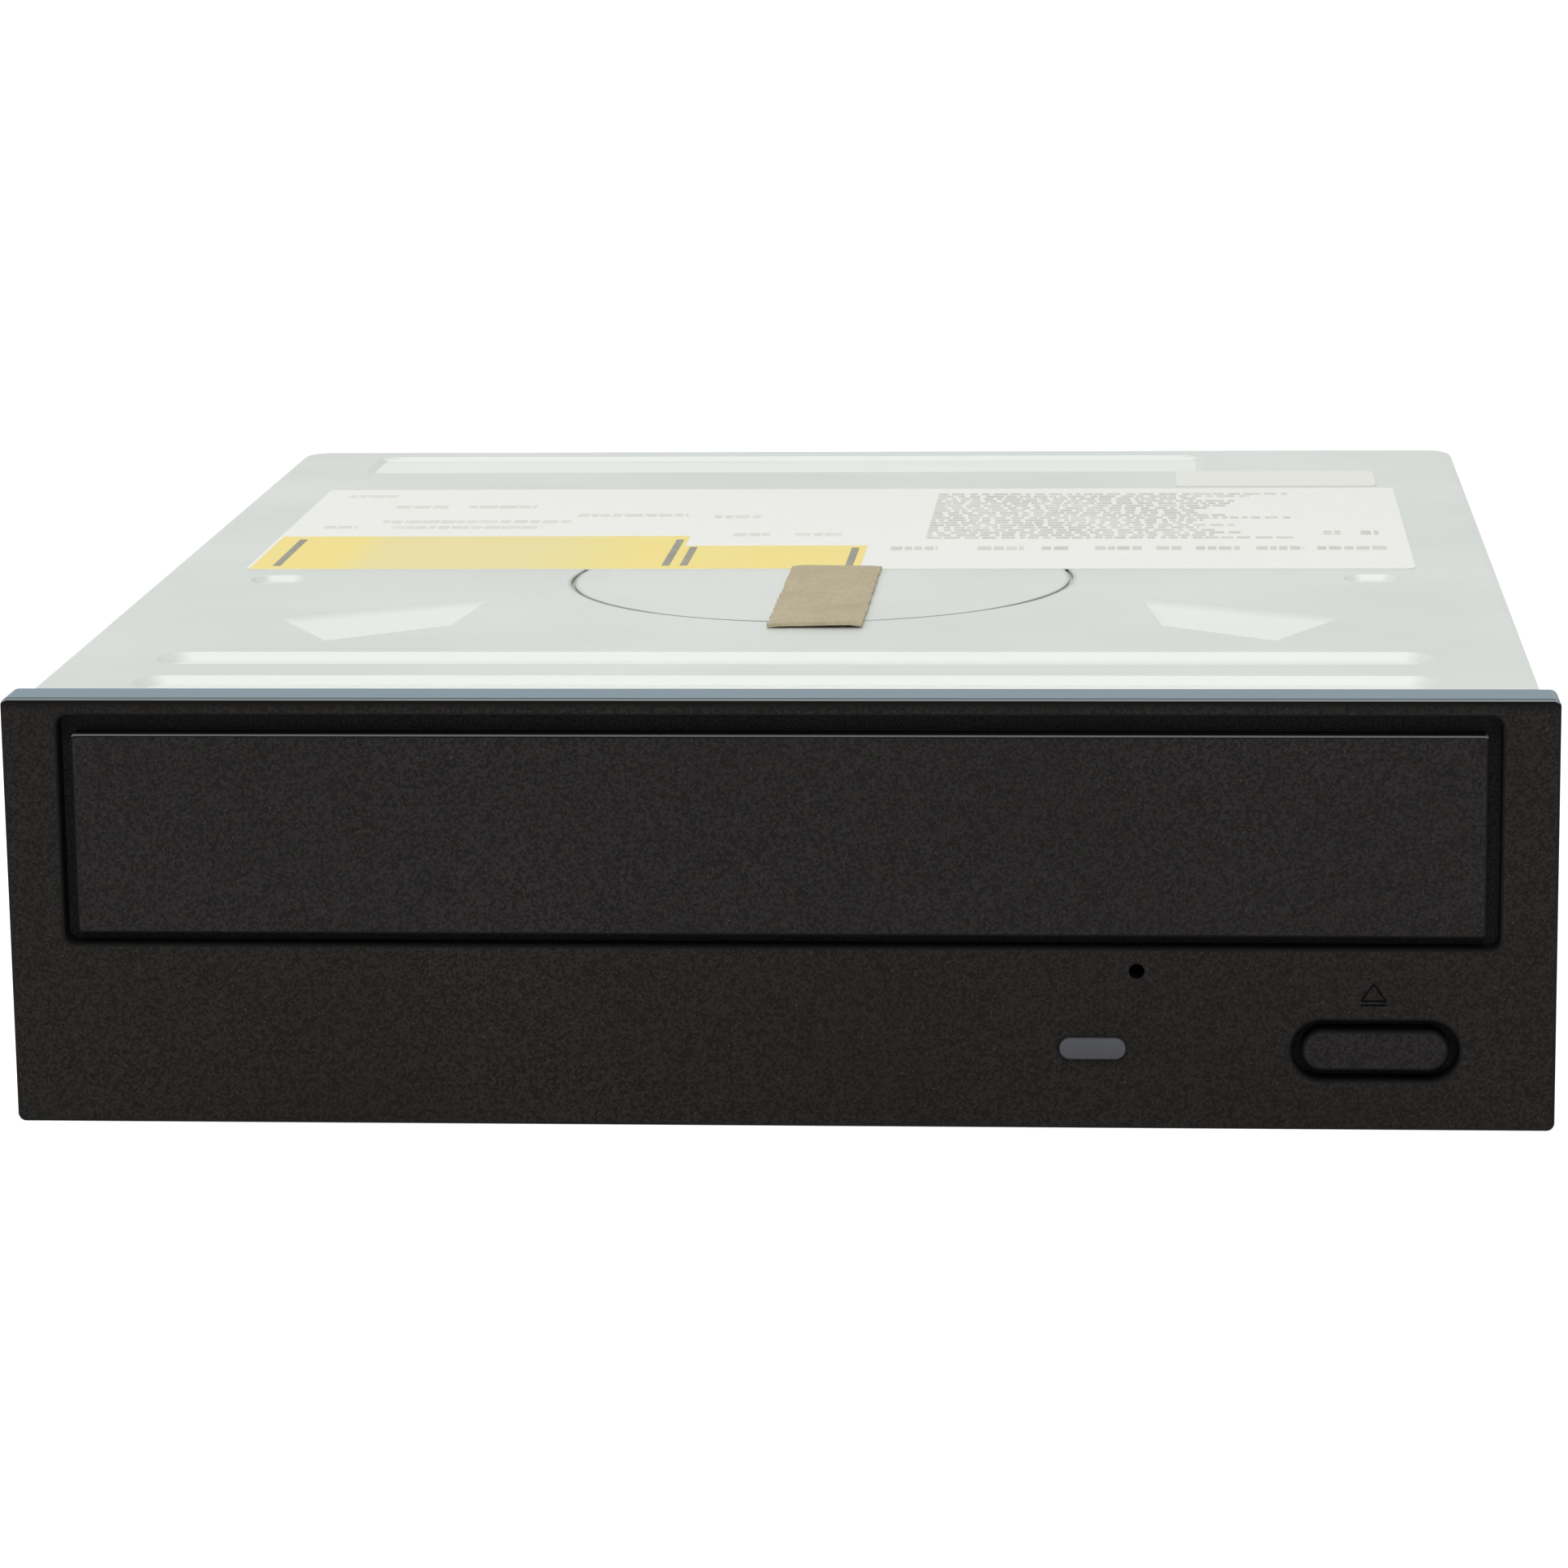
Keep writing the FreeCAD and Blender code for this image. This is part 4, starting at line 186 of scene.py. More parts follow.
board_mask = solder_mask("green_mask", (0.016, 0.095, 0.040), (0.030, 0.150, 0.062))
dress(board_mask, "main_board", "front_board", "spindle_base")

# Packages on the boards: controller, motor driver and memory in black epoxy.
# Moulded with a fine grain and left bare of any mark; the crystal and the cans are tinned.


def moulded(name, colour, rough_low, rough_high, grain=2400.0, depth_mm=0.012, specular=0.35):
    """Plain moulded plastic: a slight change of tone and a fine eroded surface."""
    material, tree, shader, where = new_finish(name, specular=specular)
    tone = mixed(tree, cloud(tree, where, 90.0, 4.0), colour, tuple(0.82 * part for part in colour))
    fine = cloud(tree, where, grain, 2.0)
    coloured(tree, shader, tone, banded(tree, fine, ((0.3, rough_low), (0.7, rough_high))))
    relief(tree, shader, fine, depth_mm, 0.5)
    return material


epoxy = moulded("package_epoxy", (0.022, 0.022, 0.023), 0.42, 0.58, 3600.0)
tinned = plated_steel("tinned_metal", (0.74, 0.73, 0.70), 0.26, 0.40)
dress(epoxy, "controller_chip", "motor_driver_chip", "memory_chips")
dress(tinned, "connector_pins", "crystal", "capacitors")

# Package legs: thin tinned strips bent like a gull's wing, soldered to the board's underside.
# One piece holds the legs of the controller and the motor driver; the four-sided controller has the most.

leg_width = 0.35 * MM
leg_sheet = 0.14 * MM
leg_reach = 1.5 * MM
leg_shoulder = 0.6 * MM
leg_slant = 0.1 * MM
controller_pitch, controller_margin = 0.8 * MM, 1.6 * MM
driver_pitch, driver_margin = 1.0 * MM, 1.2 * MM
board_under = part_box("main_board")[0].z


def new_piece(name, mesh_builder, finish, body):
    """Turns a bmesh into a piece that lies in the frame and rides on a body."""
    mesh = bpy.data.meshes.new(name)
    mesh_builder.to_mesh(mesh)
    mesh_builder.free()
    mesh.materials.append(finish)
    piece = bpy.data.objects.new(name, mesh)
    bpy.context.scene.collection.objects.link(piece)
    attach(piece, body)
    return piece


def add_box(shape, low, high, bevel=0.0):
    """A block between two corners, with its edges rounded by one bevel."""
    size = Vector(high) - Vector(low)
    middle = (Vector(high) + Vector(low)) / 2
    place = Matrix.Translation(middle) @ Matrix.Diagonal((*size, 1.0))
    made = bmesh.ops.create_cube(shape, size=1.0, matrix=place)
    if bevel:
        edges = {edge for corner in made["verts"] for edge in corner.link_edges}
        bmesh.ops.bevel(shape, geom=list(edges), offset=bevel, offset_type="OFFSET", segments=2,
                        profile=0.5, affect="EDGES", material=-1)


def add_leg(shape, root, outwards):
    """One leg: a bent strip drawn from the side, then extruded by its width."""
    across = Vector((-outwards.y, outwards.x, 0.0))
    drop = board_under - root.z
    line = [(0.0, 0.0), (leg_shoulder, 0.0), (leg_shoulder + leg_slant, drop - leg_sheet),
            (leg_reach, drop - leg_sheet), (leg_reach, drop), (leg_shoulder - leg_slant / 2, drop),
            (leg_shoulder - leg_slant, leg_sheet), (0.0, leg_sheet)]
    corners = [shape.verts.new(root + outwards * along + Vector((0, 0, up)) - across * leg_width / 2)
               for along, up in line]
    face = shape.faces.new(corners)
    grown = bmesh.ops.extrude_face_region(shape, geom=[face])["geom"]
    moved = [part for part in grown if isinstance(part, bmesh.types.BMVert)]
    bmesh.ops.translate(shape, verts=moved, vec=across * leg_width)


def row_of_legs(shape, box, side, pitch, margin):
    low, high = box
    axis = 1 if side.x else 0
    start, end = low[axis] + margin, high[axis] - margin
    count = int((end - start) / pitch)
    for index in range(count + 1):
        root = Vector((0.0, 0.0, (low.z + high.z) / 2))
        root[axis] = start + (end - start - count * pitch) / 2 + index * pitch
        root[1 - axis] = high[1 - axis] if side[1 - axis] > 0 else low[1 - axis]
        add_leg(shape, root, side)


legs = bmesh.new()
for hand in (-1, 1):
    sideways, along = Vector((hand, 0, 0)), Vector((0, hand, 0))
    row_of_legs(legs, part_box("controller_chip"), sideways, controller_pitch, controller_margin)
    row_of_legs(legs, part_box("controller_chip"), along, controller_pitch, controller_margin)
    row_of_legs(legs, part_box("motor_driver_chip"), sideways, driver_pitch, driver_margin)
bmesh.ops.recalc_face_normals(legs, faces=legs.faces)
new_piece("package_legs", legs, tinned, "chassis")

# Small parts on the board's underside: chip resistors and capacitors with tinned ends.
# Placed in loose rows between the packages and reflow soldered.

part_length = 1.6 * MM
part_width = 0.8 * MM
part_height = 0.5 * MM
part_cap = 0.3 * MM
part_grid = 4.2 * MM
part_clear = 2.6 * MM
part_share = 0.62
part_stray = 0.7 * MM
left_margin, right_margin = 9 * MM, 8 * MM
front_margin, back_margin = 3 * MM, 19 * MM
board_screw_reach, board_screw_rows = 65.0 * MM, (14.0 * MM, 66.0 * MM)
screw_clear = 5 * MM
ceramic = moulded("chip_ceramic", (0.20, 0.145, 0.10), 0.4, 0.55, 3000.0)
keep_out = [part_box(name) for name in ("controller_chip", "motor_driver_chip", "memory_chips", "crystal",
                                      "cable_sockets")]
board_low, board_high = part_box("main_board")
screw_places = [Vector((hand * board_screw_reach, y, 0.0)) for hand in (-1, 1) for y in board_screw_rows]
shuffle = random.Random(11)
bodies_mesh, ends_mesh = bmesh.new(), bmesh.new()
x = board_low.x + left_margin
while x < board_high.x - right_margin:
    y = board_low.y + front_margin
    while y < board_high.y - back_margin:
        astray = [shuffle.uniform(-part_stray, part_stray) for _ in range(2)]
        here = Vector((x + astray[0], y + astray[1], 0.0))
        used = shuffle.random() < part_share
        blocked = any(low.x - part_clear < here.x < high.x + part_clear
                      and low.y - part_clear < here.y < high.y + part_clear for low, high in keep_out)
        blocked = blocked or any((place - here).length < screw_clear for place in screw_places)
        if used and not blocked:
            turned = shuffle.random() < 0.5
            along = Vector((0, 1, 0)) if turned else Vector((1, 0, 0))
            half = (along * part_length + Vector((along.y, along.x, 0)) * part_width) / 2
            cap = along * part_cap
            under = Vector((0, 0, board_under - part_height))
            above = Vector((0, 0, board_under))
            add_box(bodies_mesh, here - half + cap + under, here + half - cap + above)
            for hand in (-1, 1):
                middle = here + along * hand * (part_length - part_cap) / 2
                reach = along * part_cap / 2 + (half - along * half.dot(along))
                add_box(ends_mesh, middle - reach + under, middle + reach + above, 0.06 * MM)
        y += part_grid
    x += part_grid
new_piece("small_parts", bodies_mesh, ceramic, "chassis")
new_piece("small_part_ends", ends_mesh, tinned, "chassis")

# Solder joints under the connectors: one small dome for each contact that passes the board.
# The four power contacts are the largest.

joints_mesh = bmesh.new()
pin_pitch = 2.54 * MM
pin_joint = (0.8 * MM, 0.55 * MM)
data_pins = (20, -1.0 * MM, 76.5 * MM)
audio_pins = (4, 47.0 * MM, 79.0 * MM)
power_pitch = 5.08 * MM
power_joint = (1.3 * MM, 0.8 * MM)
power_pins = (4, -45.5 * MM, 73.0 * MM)
power_rows = 5.0 * MM


def add_dome(shape, x, y, radius, height):
    made = bmesh.ops.create_uvsphere(shape, u_segments=10, v_segments=6, radius=radius)
    low_half = [corner for corner in made["verts"] if corner.co.z > 1e-9]
    bmesh.ops.delete(shape, geom=low_half, context="VERTS")
    kept = [corner for corner in made["verts"] if corner.is_valid]
    bmesh.ops.scale(shape, vec=(1.0, 1.0, height / radius), verts=kept)
    bmesh.ops.translate(shape, vec=(x, y, board_under), verts=kept)
    rim = [edge for edge in {e for corner in kept for e in corner.link_edges} if edge.is_boundary]
    bmesh.ops.holes_fill(shape, edges=rim, sides=0)


def row_of_joints(pins, pitch, joint, behind=0.0):
    """Domes of a radius and height in one row along X, centred on a connector."""
    count, middle, y = pins
    for column in range(count):
        add_dome(joints_mesh, middle + (column - (count - 1) / 2) * pitch, y + behind, *joint)


for row in range(2):
    row_of_joints(data_pins, pin_pitch, pin_joint, row * pin_pitch)
    row_of_joints(power_pins, power_pitch, power_joint, row * power_rows)
row_of_joints(audio_pins, pin_pitch, pin_joint)
bmesh.ops.recalc_face_normals(joints_mesh, faces=joints_mesh.faces)
new_piece("solder_joints", joints_mesh, tinned, "chassis")

# Connectors: black ribbon socket, white power and audio sockets, jumper block with its cap.
# Glass-filled nylon, moulded; the contacts stand in their back walls.

black_nylon = moulded("black_nylon", (0.020, 0.020, 0.021), 0.38, 0.52, 2800.0)
white_nylon = moulded("white_nylon", (0.74, 0.73, 0.68), 0.36, 0.50, 2800.0, specular=0.45)
dress(black_nylon, "data_connector", "jumper_block", "jumper_cap", "switch_body")
dress(white_nylon, "power_connector", "audio_connectors", "cable_sockets", "switch_plunger")

# Flat cable between the boards: foil conductors side by side in clear and white film.
# It lies folded along the floor and ends in the low sockets.

cable_finish, tree, shader, where = new_finish("flat_cable", specular=0.5)
lines = shader_node(tree, "TexWave", {"Vector": where, "Scale": 310.0, "Distortion": 0.0},
                    wave_type="BANDS", bands_direction="X", wave_profile="SIN").outputs[0]
foil = banded(tree, lines, ((0.45, 0.0), (0.62, 1.0)))
tone = mixed(tree, foil, (0.80, 0.80, 0.76), (0.52, 0.53, 0.54))
coloured(tree, shader, tone, banded(tree, cloud(tree, where, 500.0), ((0.3, 0.28), (0.7, 0.40))))
relief(tree, shader, foil, 0.05, 0.5)
dress(cable_finish, "front_cable")

# Main frame: the black moulded tub that carries the tray's rails, the loading gears and the lift.
# Glass-filled plastic with a fine eroded grain, screwed to the bottom cover.

frame_plastic = moulded("frame_plastic", (0.019, 0.019, 0.019), 0.40, 0.54, 2200.0)
dress(frame_plastic, "main_frame", "lift_frame")

# Loading train: motor with its pulley, square rubber belt, pulley gear and loading gear.
# Gears and pulleys are white acetal running on posts of the frame; the motor's can is plated steel.

acetal = moulded("white_acetal", (0.76, 0.75, 0.70), 0.30, 0.42, 1800.0, 0.008, specular=0.5)
motor_steel = plated_steel("motor_can_steel", (0.56, 0.56, 0.57), 0.28, 0.42)
belt_rubber = moulded("belt_rubber", (0.016, 0.016, 0.016), 0.66, 0.82, 1500.0, 0.02, specular=0.3)
dress(acetal, "pulley_gear", "loading_gear", "motor_pulley", "cam_slider", "clamper", "sled_nut",
      "lens_holder")
dress(motor_steel, "loading_motor", "sled_motor")
dress(belt_rubber, "drive_belt", "dampers", "turntable_ring")

# Traverse plate, bridge and other plain steel pieces: blanked from bright sheet.
# The traverse plate stands on four rubber bushes; the bridge crosses above the tray.

sheet_steel = plated_steel("bright_sheet", (0.58, 0.59, 0.59), 0.34, 0.48)
dress(sheet_steel, "traverse_base", "clamper_yoke", "spindle_rotor", "laser_diodes", "pickup_cover")
dress(zinc_steel("zinc_steel_bridge", (0.62, 0.65, 0.62), (0.56, 0.59, 0.56))[0], "clamp_bridge")

# Guide rods: ground and polished steel, clipped to the traverse plate at both ends.
# The sled's bearings run along them.

rod_finish, tree, shader, where = new_finish("ground_rod", metallic=1.0)
rings = shader_node(tree, "TexWave", {"Vector": where, "Scale": 900.0, "Distortion": 1.5, "Detail": 2.0},
                    wave_type="BANDS", bands_direction="Y").outputs[0]
coloured(tree, shader, mixed(tree, rings, (0.66, 0.66, 0.67), (0.60, 0.60, 0.61)),
         banded(tree, rings, ((0.0, 0.12), (1.0, 0.20))))
relief(tree, shader, rings, 0.003, 0.4)
dress(rod_finish, "guide_rods")

# Lead screw: a steel rod with a rolled thread of 3 mm pitch, turned by the sled's motor.
# It replaces the plain rod of the same diameter; the thread's crest keeps that diameter.

screw_low, screw_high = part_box("lead_screw")
screw_radius = (screw_high.x - screw_low.x) / 2
screw_x = (screw_low.x + screw_high.x) / 2
screw_z = (screw_low.z + screw_high.z) / 2
thread_pitch = 3.0 * MM
thread_depth = 0.32 * MM
thread_steps = 20
plain_front = 12.0 * MM
plain_back = 3.0 * MM
thread_start = screw_low.y + plain_front
thread_turns = int((screw_high.y - plain_back - thread_start) / thread_pitch)
core_radius = screw_radius - thread_depth
root_radius = core_radius * 0.92
ridge_half = thread_pitch * 0.36
crest_half = ridge_half * 0.45

screw = bmesh.new()
lengths = ((screw_low.y, thread_start, screw_radius), (thread_start, screw_high.y, core_radius))
for start, end, radius in lengths:
    turn = Matrix.Rotation(math.pi / 2, 4, "X")
    place = Matrix.Translation((screw_x, (start + end) / 2, screw_z)) @ turn
    bmesh.ops.create_cone(screw, cap_ends=True, segments=32, radius1=radius, radius2=radius,
                          depth=end - start, matrix=place)
profile = [screw.verts.new((screw_x + reach, thread_start + along, screw_z))
           for reach, along in ((root_radius, -ridge_half), (screw_radius, -crest_half),
                                (screw_radius, crest_half), (root_radius, ridge_half))]
edges = [screw.edges.new(pair) for pair in zip(profile, profile[1:])]
bmesh.ops.spin(screw, geom=profile + edges, cent=(screw_x, 0.0, screw_z), axis=(0, 1, 0),
               dvec=(0, thread_pitch / thread_steps, 0), angle=2 * math.pi * thread_turns,
               steps=thread_steps * thread_turns, use_merge=False, use_duplicate=False)
bmesh.ops.recalc_face_normals(screw, faces=screw.faces)
thread = new_piece("threaded_screw", screw, rod_finish, "lead_screw")
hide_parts("lead_screw")
dress(rod_finish, "lead_screw")

# Spindle motor's stator: laminated poles with a coil of enamelled wire round each.
# The windings are one piece; the cup of the rotor turns round them.

copper, tree, shader, where = new_finish("enamelled_wire", metallic=0.9)
turns = shader_node(tree, "TexWave", {"Vector": where, "Scale": 1400.0, "Distortion": 0.6},
                    wave_type="BANDS", bands_direction="Z").outputs[0]
coloured(tree, shader, mixed(tree, turns, (0.62, 0.26, 0.11), (0.36, 0.13, 0.05)),
         banded(tree, turns, ((0.0, 0.26), (1.0, 0.40))))
relief(tree, shader, turns, 0.04, 0.7)
dress(sheet_steel, "spindle_stator")

stator_low, stator_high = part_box("spindle_stator")
stator_middle = (stator_low + stator_high) / 2
coil_inner = 6.4 * MM
coil_outer = 10.4 * MM
coil_half = 1.35 * MM
coil_over = 0.12 * MM
coil_round = 0.35 * MM
coil_count = 12
windings = bmesh.new()
for index in range(coil_count):
    coil = bmesh.new()
    add_box(coil, (coil_inner, -coil_half, stator_low.z - coil_over),
            (coil_outer, coil_half, stator_high.z + coil_over), coil_round)
    turn = Matrix.Rotation(index * 2 * math.pi / coil_count, 3, "Z")
    bmesh.ops.rotate(coil, verts=coil.verts, cent=(0, 0, 0), matrix=turn)
    bmesh.ops.translate(coil, verts=coil.verts, vec=(stator_middle.x, stator_middle.y, 0.0))
    single = bpy.data.meshes.new("coil")
    coil.to_mesh(single)
    coil.free()
    windings.from_mesh(single)
    bpy.data.meshes.remove(single)
new_piece("stator_windings", windings, copper, "lift")

# Turntable: black plastic with a raised hub that centres the disc and a rubber ring under it.
# It turns on the spindle motor's shaft.

dress(black_nylon, "turntable")

# Sled and lens: a cast black body on the guide rods, with the lens on a small sprung holder.
# A flat coil on the holder works against the magnet in the sled's pocket.

dress(frame_plastic, "pickup_body")
lens_finish, tree, shader, where = new_finish("coated_lens", specular=0.5)
shader.inputs["Transmission Weight"].default_value = 0.85
shader.inputs["IOR"].default_value = 1.5
coat = cloud(tree, where, 240.0)
coloured(tree, shader, mixed(tree, coat, (0.72, 0.74, 0.92), (0.80, 0.72, 0.90)),
         banded(tree, coat, ((0.0, 0.04), (1.0, 0.09))))
dress(lens_finish, "objective_lens")

holder_low, holder_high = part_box("lens_holder")
coil_back = holder_high.y
coil_reach = 6.0
coil_window = 4.6
coil_deep = 0.6
coil_bars = (((-coil_reach, 0.4), (coil_reach, 1.4)), ((-coil_reach, 2.8), (coil_reach, 3.7)),
             ((-coil_reach, 1.3), (-coil_window, 2.9)), ((coil_window, 1.3), (coil_reach, 2.9)))
coil_edge = 0.15 * MM
coil_shape = bmesh.new()
for (left, low), (right, high) in coil_bars:
    add_box(coil_shape, (left * MM, coil_back, holder_low.z + low * MM),
            (right * MM, coil_back + coil_deep * MM, holder_low.z + high * MM), coil_edge)
new_piece("focus_coil", coil_shape, copper, "lens")

magnet_half = 5.5 * MM
magnet_gap = 1.2 * MM
magnet_deep = 1.2 * MM
magnet_low, magnet_high = 19.1 * MM, 23.2 * MM
magnet_edge = 0.12 * MM
magnet_front = coil_back + magnet_gap
magnet = bmesh.new()
add_box(magnet, (-magnet_half, magnet_front, magnet_low),
        (magnet_half, magnet_front + magnet_deep, magnet_high), magnet_edge)
new_piece("focus_magnet", magnet, motor_steel, "sled")

# Tray: the black drawer that takes the disc, with a rack moulded under its left side.
# Its two round wells seat discs of 12 and 8 cm; four lugs hold a disc when the drive stands upright.

tray_plastic = moulded("tray_plastic", (0.021, 0.021, 0.021), 0.44, 0.58, 1900.0, 0.018, specular=0.3)
dress(tray_plastic, "disc_tray")

# Bezel, tray door and eject button: black plastic with the mould's spark-eroded grain in front.
# The grain is matt, with small bright specks at its peaks; walls and round edges are smooth.
# Upper edges carry a painted highlight, the bezel's glossy top a painted blue-grey reflection, and a
# smooth strip under it is painted dark, a painted shade.


def spark_grain(name, pit, peak, front_rough, rim_start, rim_fade, rim_highlight, top_reflection, gloss):
    """Grained in front; above a height smooth and painted dark (painted shade), with a painted highlight
    at the edge and a glossy top with a painted reflection.
    """
    material, tree, shader, where = new_finish(name, specular=0.08)
    facing = shader_node(tree, "SeparateXYZ", {"Vector": where.node.outputs["Normal"]}).outputs
    height = shader_node(tree, "SeparateXYZ", {"Vector": where}).outputs["Z"]
    risen = calculated(tree, "DIVIDE", calculated(tree, "SUBTRACT", height, rim_start), rim_fade)
    high = banded(tree, risen, ((0.0, 0.0), (1.0, 1.0)))
    edge = banded(tree, facing["Z"], ((0.30, 0.0), (0.42, 1.0), (0.78, 1.0), (0.92, 0.0)))
    edge = calculated(tree, "MULTIPLY", edge, high)
    top = calculated(tree, "MULTIPLY", banded(tree, facing["Z"], ((0.78, 0.0), (0.94, 1.0))), high)
    grained = banded(tree, calculated(tree, "MULTIPLY", facing["Y"], -1.0), ((0.93, 0.0), (0.995, 1.0)))
    grained = calculated(tree, "SUBTRACT", grained, calculated(tree, "MULTIPLY", grained, high))
    pits = cloud(tree, where, 3900.0, 2.0, 0.6)
    specks = banded(tree, cloud(tree, where, 4300.0, 1.0), ((0.71, 0.0), (0.78, 1.0)))
    broad = cloud(tree, where, 26.0, 3.0)
    tone = mixed(tree, banded(tree, pits, ((0.42, 0.0), (0.58, 1.0))), pit, peak)
    tone = mixed(tree, banded(tree, broad, ((0.3, 0.0), (0.7, 0.40))), tone, pit)
    tone = mixed(tree, calculated(tree, "MULTIPLY", specks, 0.55), tone, (0.085, 0.082, 0.078))
    # Above the grained face the colour darkens towards the top edge: a painted shade, on the door and
    # button the moat wall's shadow.
    smooth = mixed(tree, high, (0.0062, 0.0060, 0.0058), (0.0016, 0.0015, 0.0014))
    # On the top, a blue-grey colour where the surface is seen at a grazing slant: a painted reflection.
    slant = shader_node(tree, "LayerWeight").outputs["Facing"]
    grazing = banded(tree, slant, ((0.45, 0.0), (0.75, 1.0)))
    smooth = mixed(tree, top, smooth, mixed(tree, grazing, (0.008, 0.013, 0.017), top_reflection))
    # Round upper edges get a pale colour: a painted highlight.
    smooth = mixed(tree, edge, smooth, rim_highlight)
    smooth_rough = banded(tree, top, ((0.0, 0.50), (1.0, 0.38)))
    rough = banded(tree, pits, ((0.3, front_rough + 0.06), (0.75, front_rough - 0.08)))
    coloured(tree, shader, mixed(tree, grained, smooth, tone), mixed(tree, grained, smooth_rough, rough))
    tree.links.new(calculated(tree, "MULTIPLY", top, gloss), shader.inputs["Coat Weight"])
    shader.inputs["Coat Roughness"].default_value = 0.16
    relief(tree, shader, calculated(tree, "MULTIPLY", pits, grained), 0.09, 0.9)
    return material


bezel_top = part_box("front_bezel")[1].z
bezel_strip, bezel_fade = 1.25 * MM, 0.90 * MM
bezel_pit, bezel_peak = (0.0094, 0.0086, 0.0080), (0.0248, 0.0230, 0.0216)
# The bezel's pale rim colour is a painted highlight, its blue-grey top colour a painted reflection.
dress(spark_grain("bezel_plastic", bezel_pit, bezel_peak, 0.60, bezel_top - bezel_strip, bezel_fade,
                  (0.24, 0.26, 0.262), (0.006, 0.085, 0.130), 0.45), "front_bezel")
door_top, button_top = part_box("tray_door")[1].z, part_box("eject_button")[1].z
rim_height, rim_fade = 0.35 * MM, 0.10 * MM
door_pit, door_peak = (0.0112, 0.0103, 0.0098), (0.0284, 0.0269, 0.0260)
# Door and button: the rim colours are painted highlights, the near-black top colour a painted shade.
door_rim_highlight, button_rim_highlight, shaded_top = (0.130, 0.135, 0.140), (0.032, 0.031, 0.030), (0.004, 0.004, 0.004)
dress(spark_grain("door_plastic", door_pit, door_peak, 0.58, door_top - rim_height, rim_fade,
                  door_rim_highlight, shaded_top, 0.0), "tray_door")
dress(spark_grain("button_plastic", door_pit, door_peak, 0.58, button_top - rim_height, rim_fade,
                  button_rim_highlight, shaded_top, 0.0), "eject_button")

# Lamp and its light pipe: a clear resin lamp on the front board behind a smoky window.
# The pipe is moulded in grey tinted acrylic and clips into the bezel.

pipe_finish, tree, shader, where = new_finish("smoky_acrylic", specular=0.35)
pipe_low, pipe_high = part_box("light_pipe")
height = shader_node(tree, "SeparateXYZ", {"Vector": where}).outputs["Z"]
risen = calculated(tree, "SUBTRACT", height, pipe_low.z)
up = calculated(tree, "DIVIDE", risen, pipe_high.z - pipe_low.z)
depth = cloud(tree, where, 420.0, 3.0)
# The pipe is painted lighter at the top than at the bottom, a painted light from above.
painted_top_light = banded(tree, up, ((0.30, 0.0), (0.75, 1.0)))
tint_and_painted_light = mixed(tree, painted_top_light, (0.045, 0.046, 0.052), (0.069, 0.072, 0.081))
tint_and_painted_light = mixed(tree, banded(tree, depth, ((0.3, 0.0), (0.7, 0.25))), tint_and_painted_light, (0.050, 0.051, 0.058))
coloured(tree, shader, tint_and_painted_light, banded(tree, depth, ((0.3, 0.28), (0.7, 0.38))))
relief(tree, shader, depth, 0.02, 0.3)
dress(pipe_finish, "light_pipe")
lamp_finish, tree, shader, where = new_finish("clear_resin", specular=0.5)
shader.inputs["Transmission Weight"].default_value = 0.8
haze = cloud(tree, where, 700.0, 2.0)
coloured(tree, shader, mixed(tree, haze, (0.78, 0.86, 0.74), (0.66, 0.76, 0.62)),
         banded(tree, haze, ((0.0, 0.08), (1.0, 0.18))))
dress(lamp_finish, "lamp")

# Top cover: one zinc-coated steel sheet, folded down at both sides and the back.
# Pressed into it are two cross grooves, two slanted pockets, dimples and a step at the back.
# A thin ring groove runs round the clamp; its line is painted darker, in patches, fainter towards the
# front.

cover_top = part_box("top_cover")[1].z
ring_middle = Vector((0.0, -14.0, 0.0)) * MM
ring_radius = 27.0 * MM
ring_half_width = 0.70 * MM
ring_fade_run = 33.3 * MM
pocket_middle = -38.0 * MM
pocket_reach = 18.0 * MM
press_start = 0.05 * MM
press_full = 0.40 * MM

cover_colour, cover_shade = (0.69, 0.72, 0.685), (0.645, 0.68, 0.645)
cover_steel, tree, shader, where, tone = zinc_steel("zinc_steel_cover", cover_colour, cover_shade)
place = shader_node(tree, "SeparateXYZ", {"Vector": where}).outputs
facing = shader_node(tree, "SeparateXYZ", {"Vector": where.node.outputs["Normal"]}).outputs
# Pressed-down level floors are painted lighter, a painted light, a little less in the pockets and behind
# them.
sunk = calculated(tree, "SUBTRACT", cover_top - press_start, place["Z"])
sunk = calculated(tree, "DIVIDE", sunk, press_full - press_start)
level = banded(tree, facing["Z"], ((0.90, 0.0), (0.97, 1.0)))
sunk_painted_light = calculated(tree, "MULTIPLY", banded(tree, sunk, ((0.0, 0.0), (1.0, 1.0))), level)
in_pocket = calculated(tree, "COMPARE", place["Y"], pocket_middle, pocket_reach)
behind = calculated(tree, "GREATER_THAN", place["Y"], pocket_middle + pocket_reach)
sunk_light_share = calculated(tree, "MULTIPLY_ADD", in_pocket, -0.22, 0.95)
sunk_light_share = calculated(tree, "MULTIPLY_ADD", behind, -0.18, sunk_light_share)
tone = mixed(tree, calculated(tree, "MULTIPLY", sunk_painted_light, sunk_light_share), tone, (0.85, 0.87, 0.83))
# Pressed walls facing front or back are painted lighter, a painted highlight in place of the lamp's;
# sideways walls keep the cover's colour.
wall_painted_light = banded(tree, facing["Z"], ((0.10, 0.0), (0.30, 1.0), (0.86, 1.0), (0.95, 0.0)))
sideways = banded(tree, calculated(tree, "ABSOLUTE", facing["X"]), ((0.15, 0.0), (0.45, 1.0)))
tone = mixed(tree, wall_painted_light, tone, mixed(tree, sideways, (0.84, 0.875, 0.83), cover_colour))

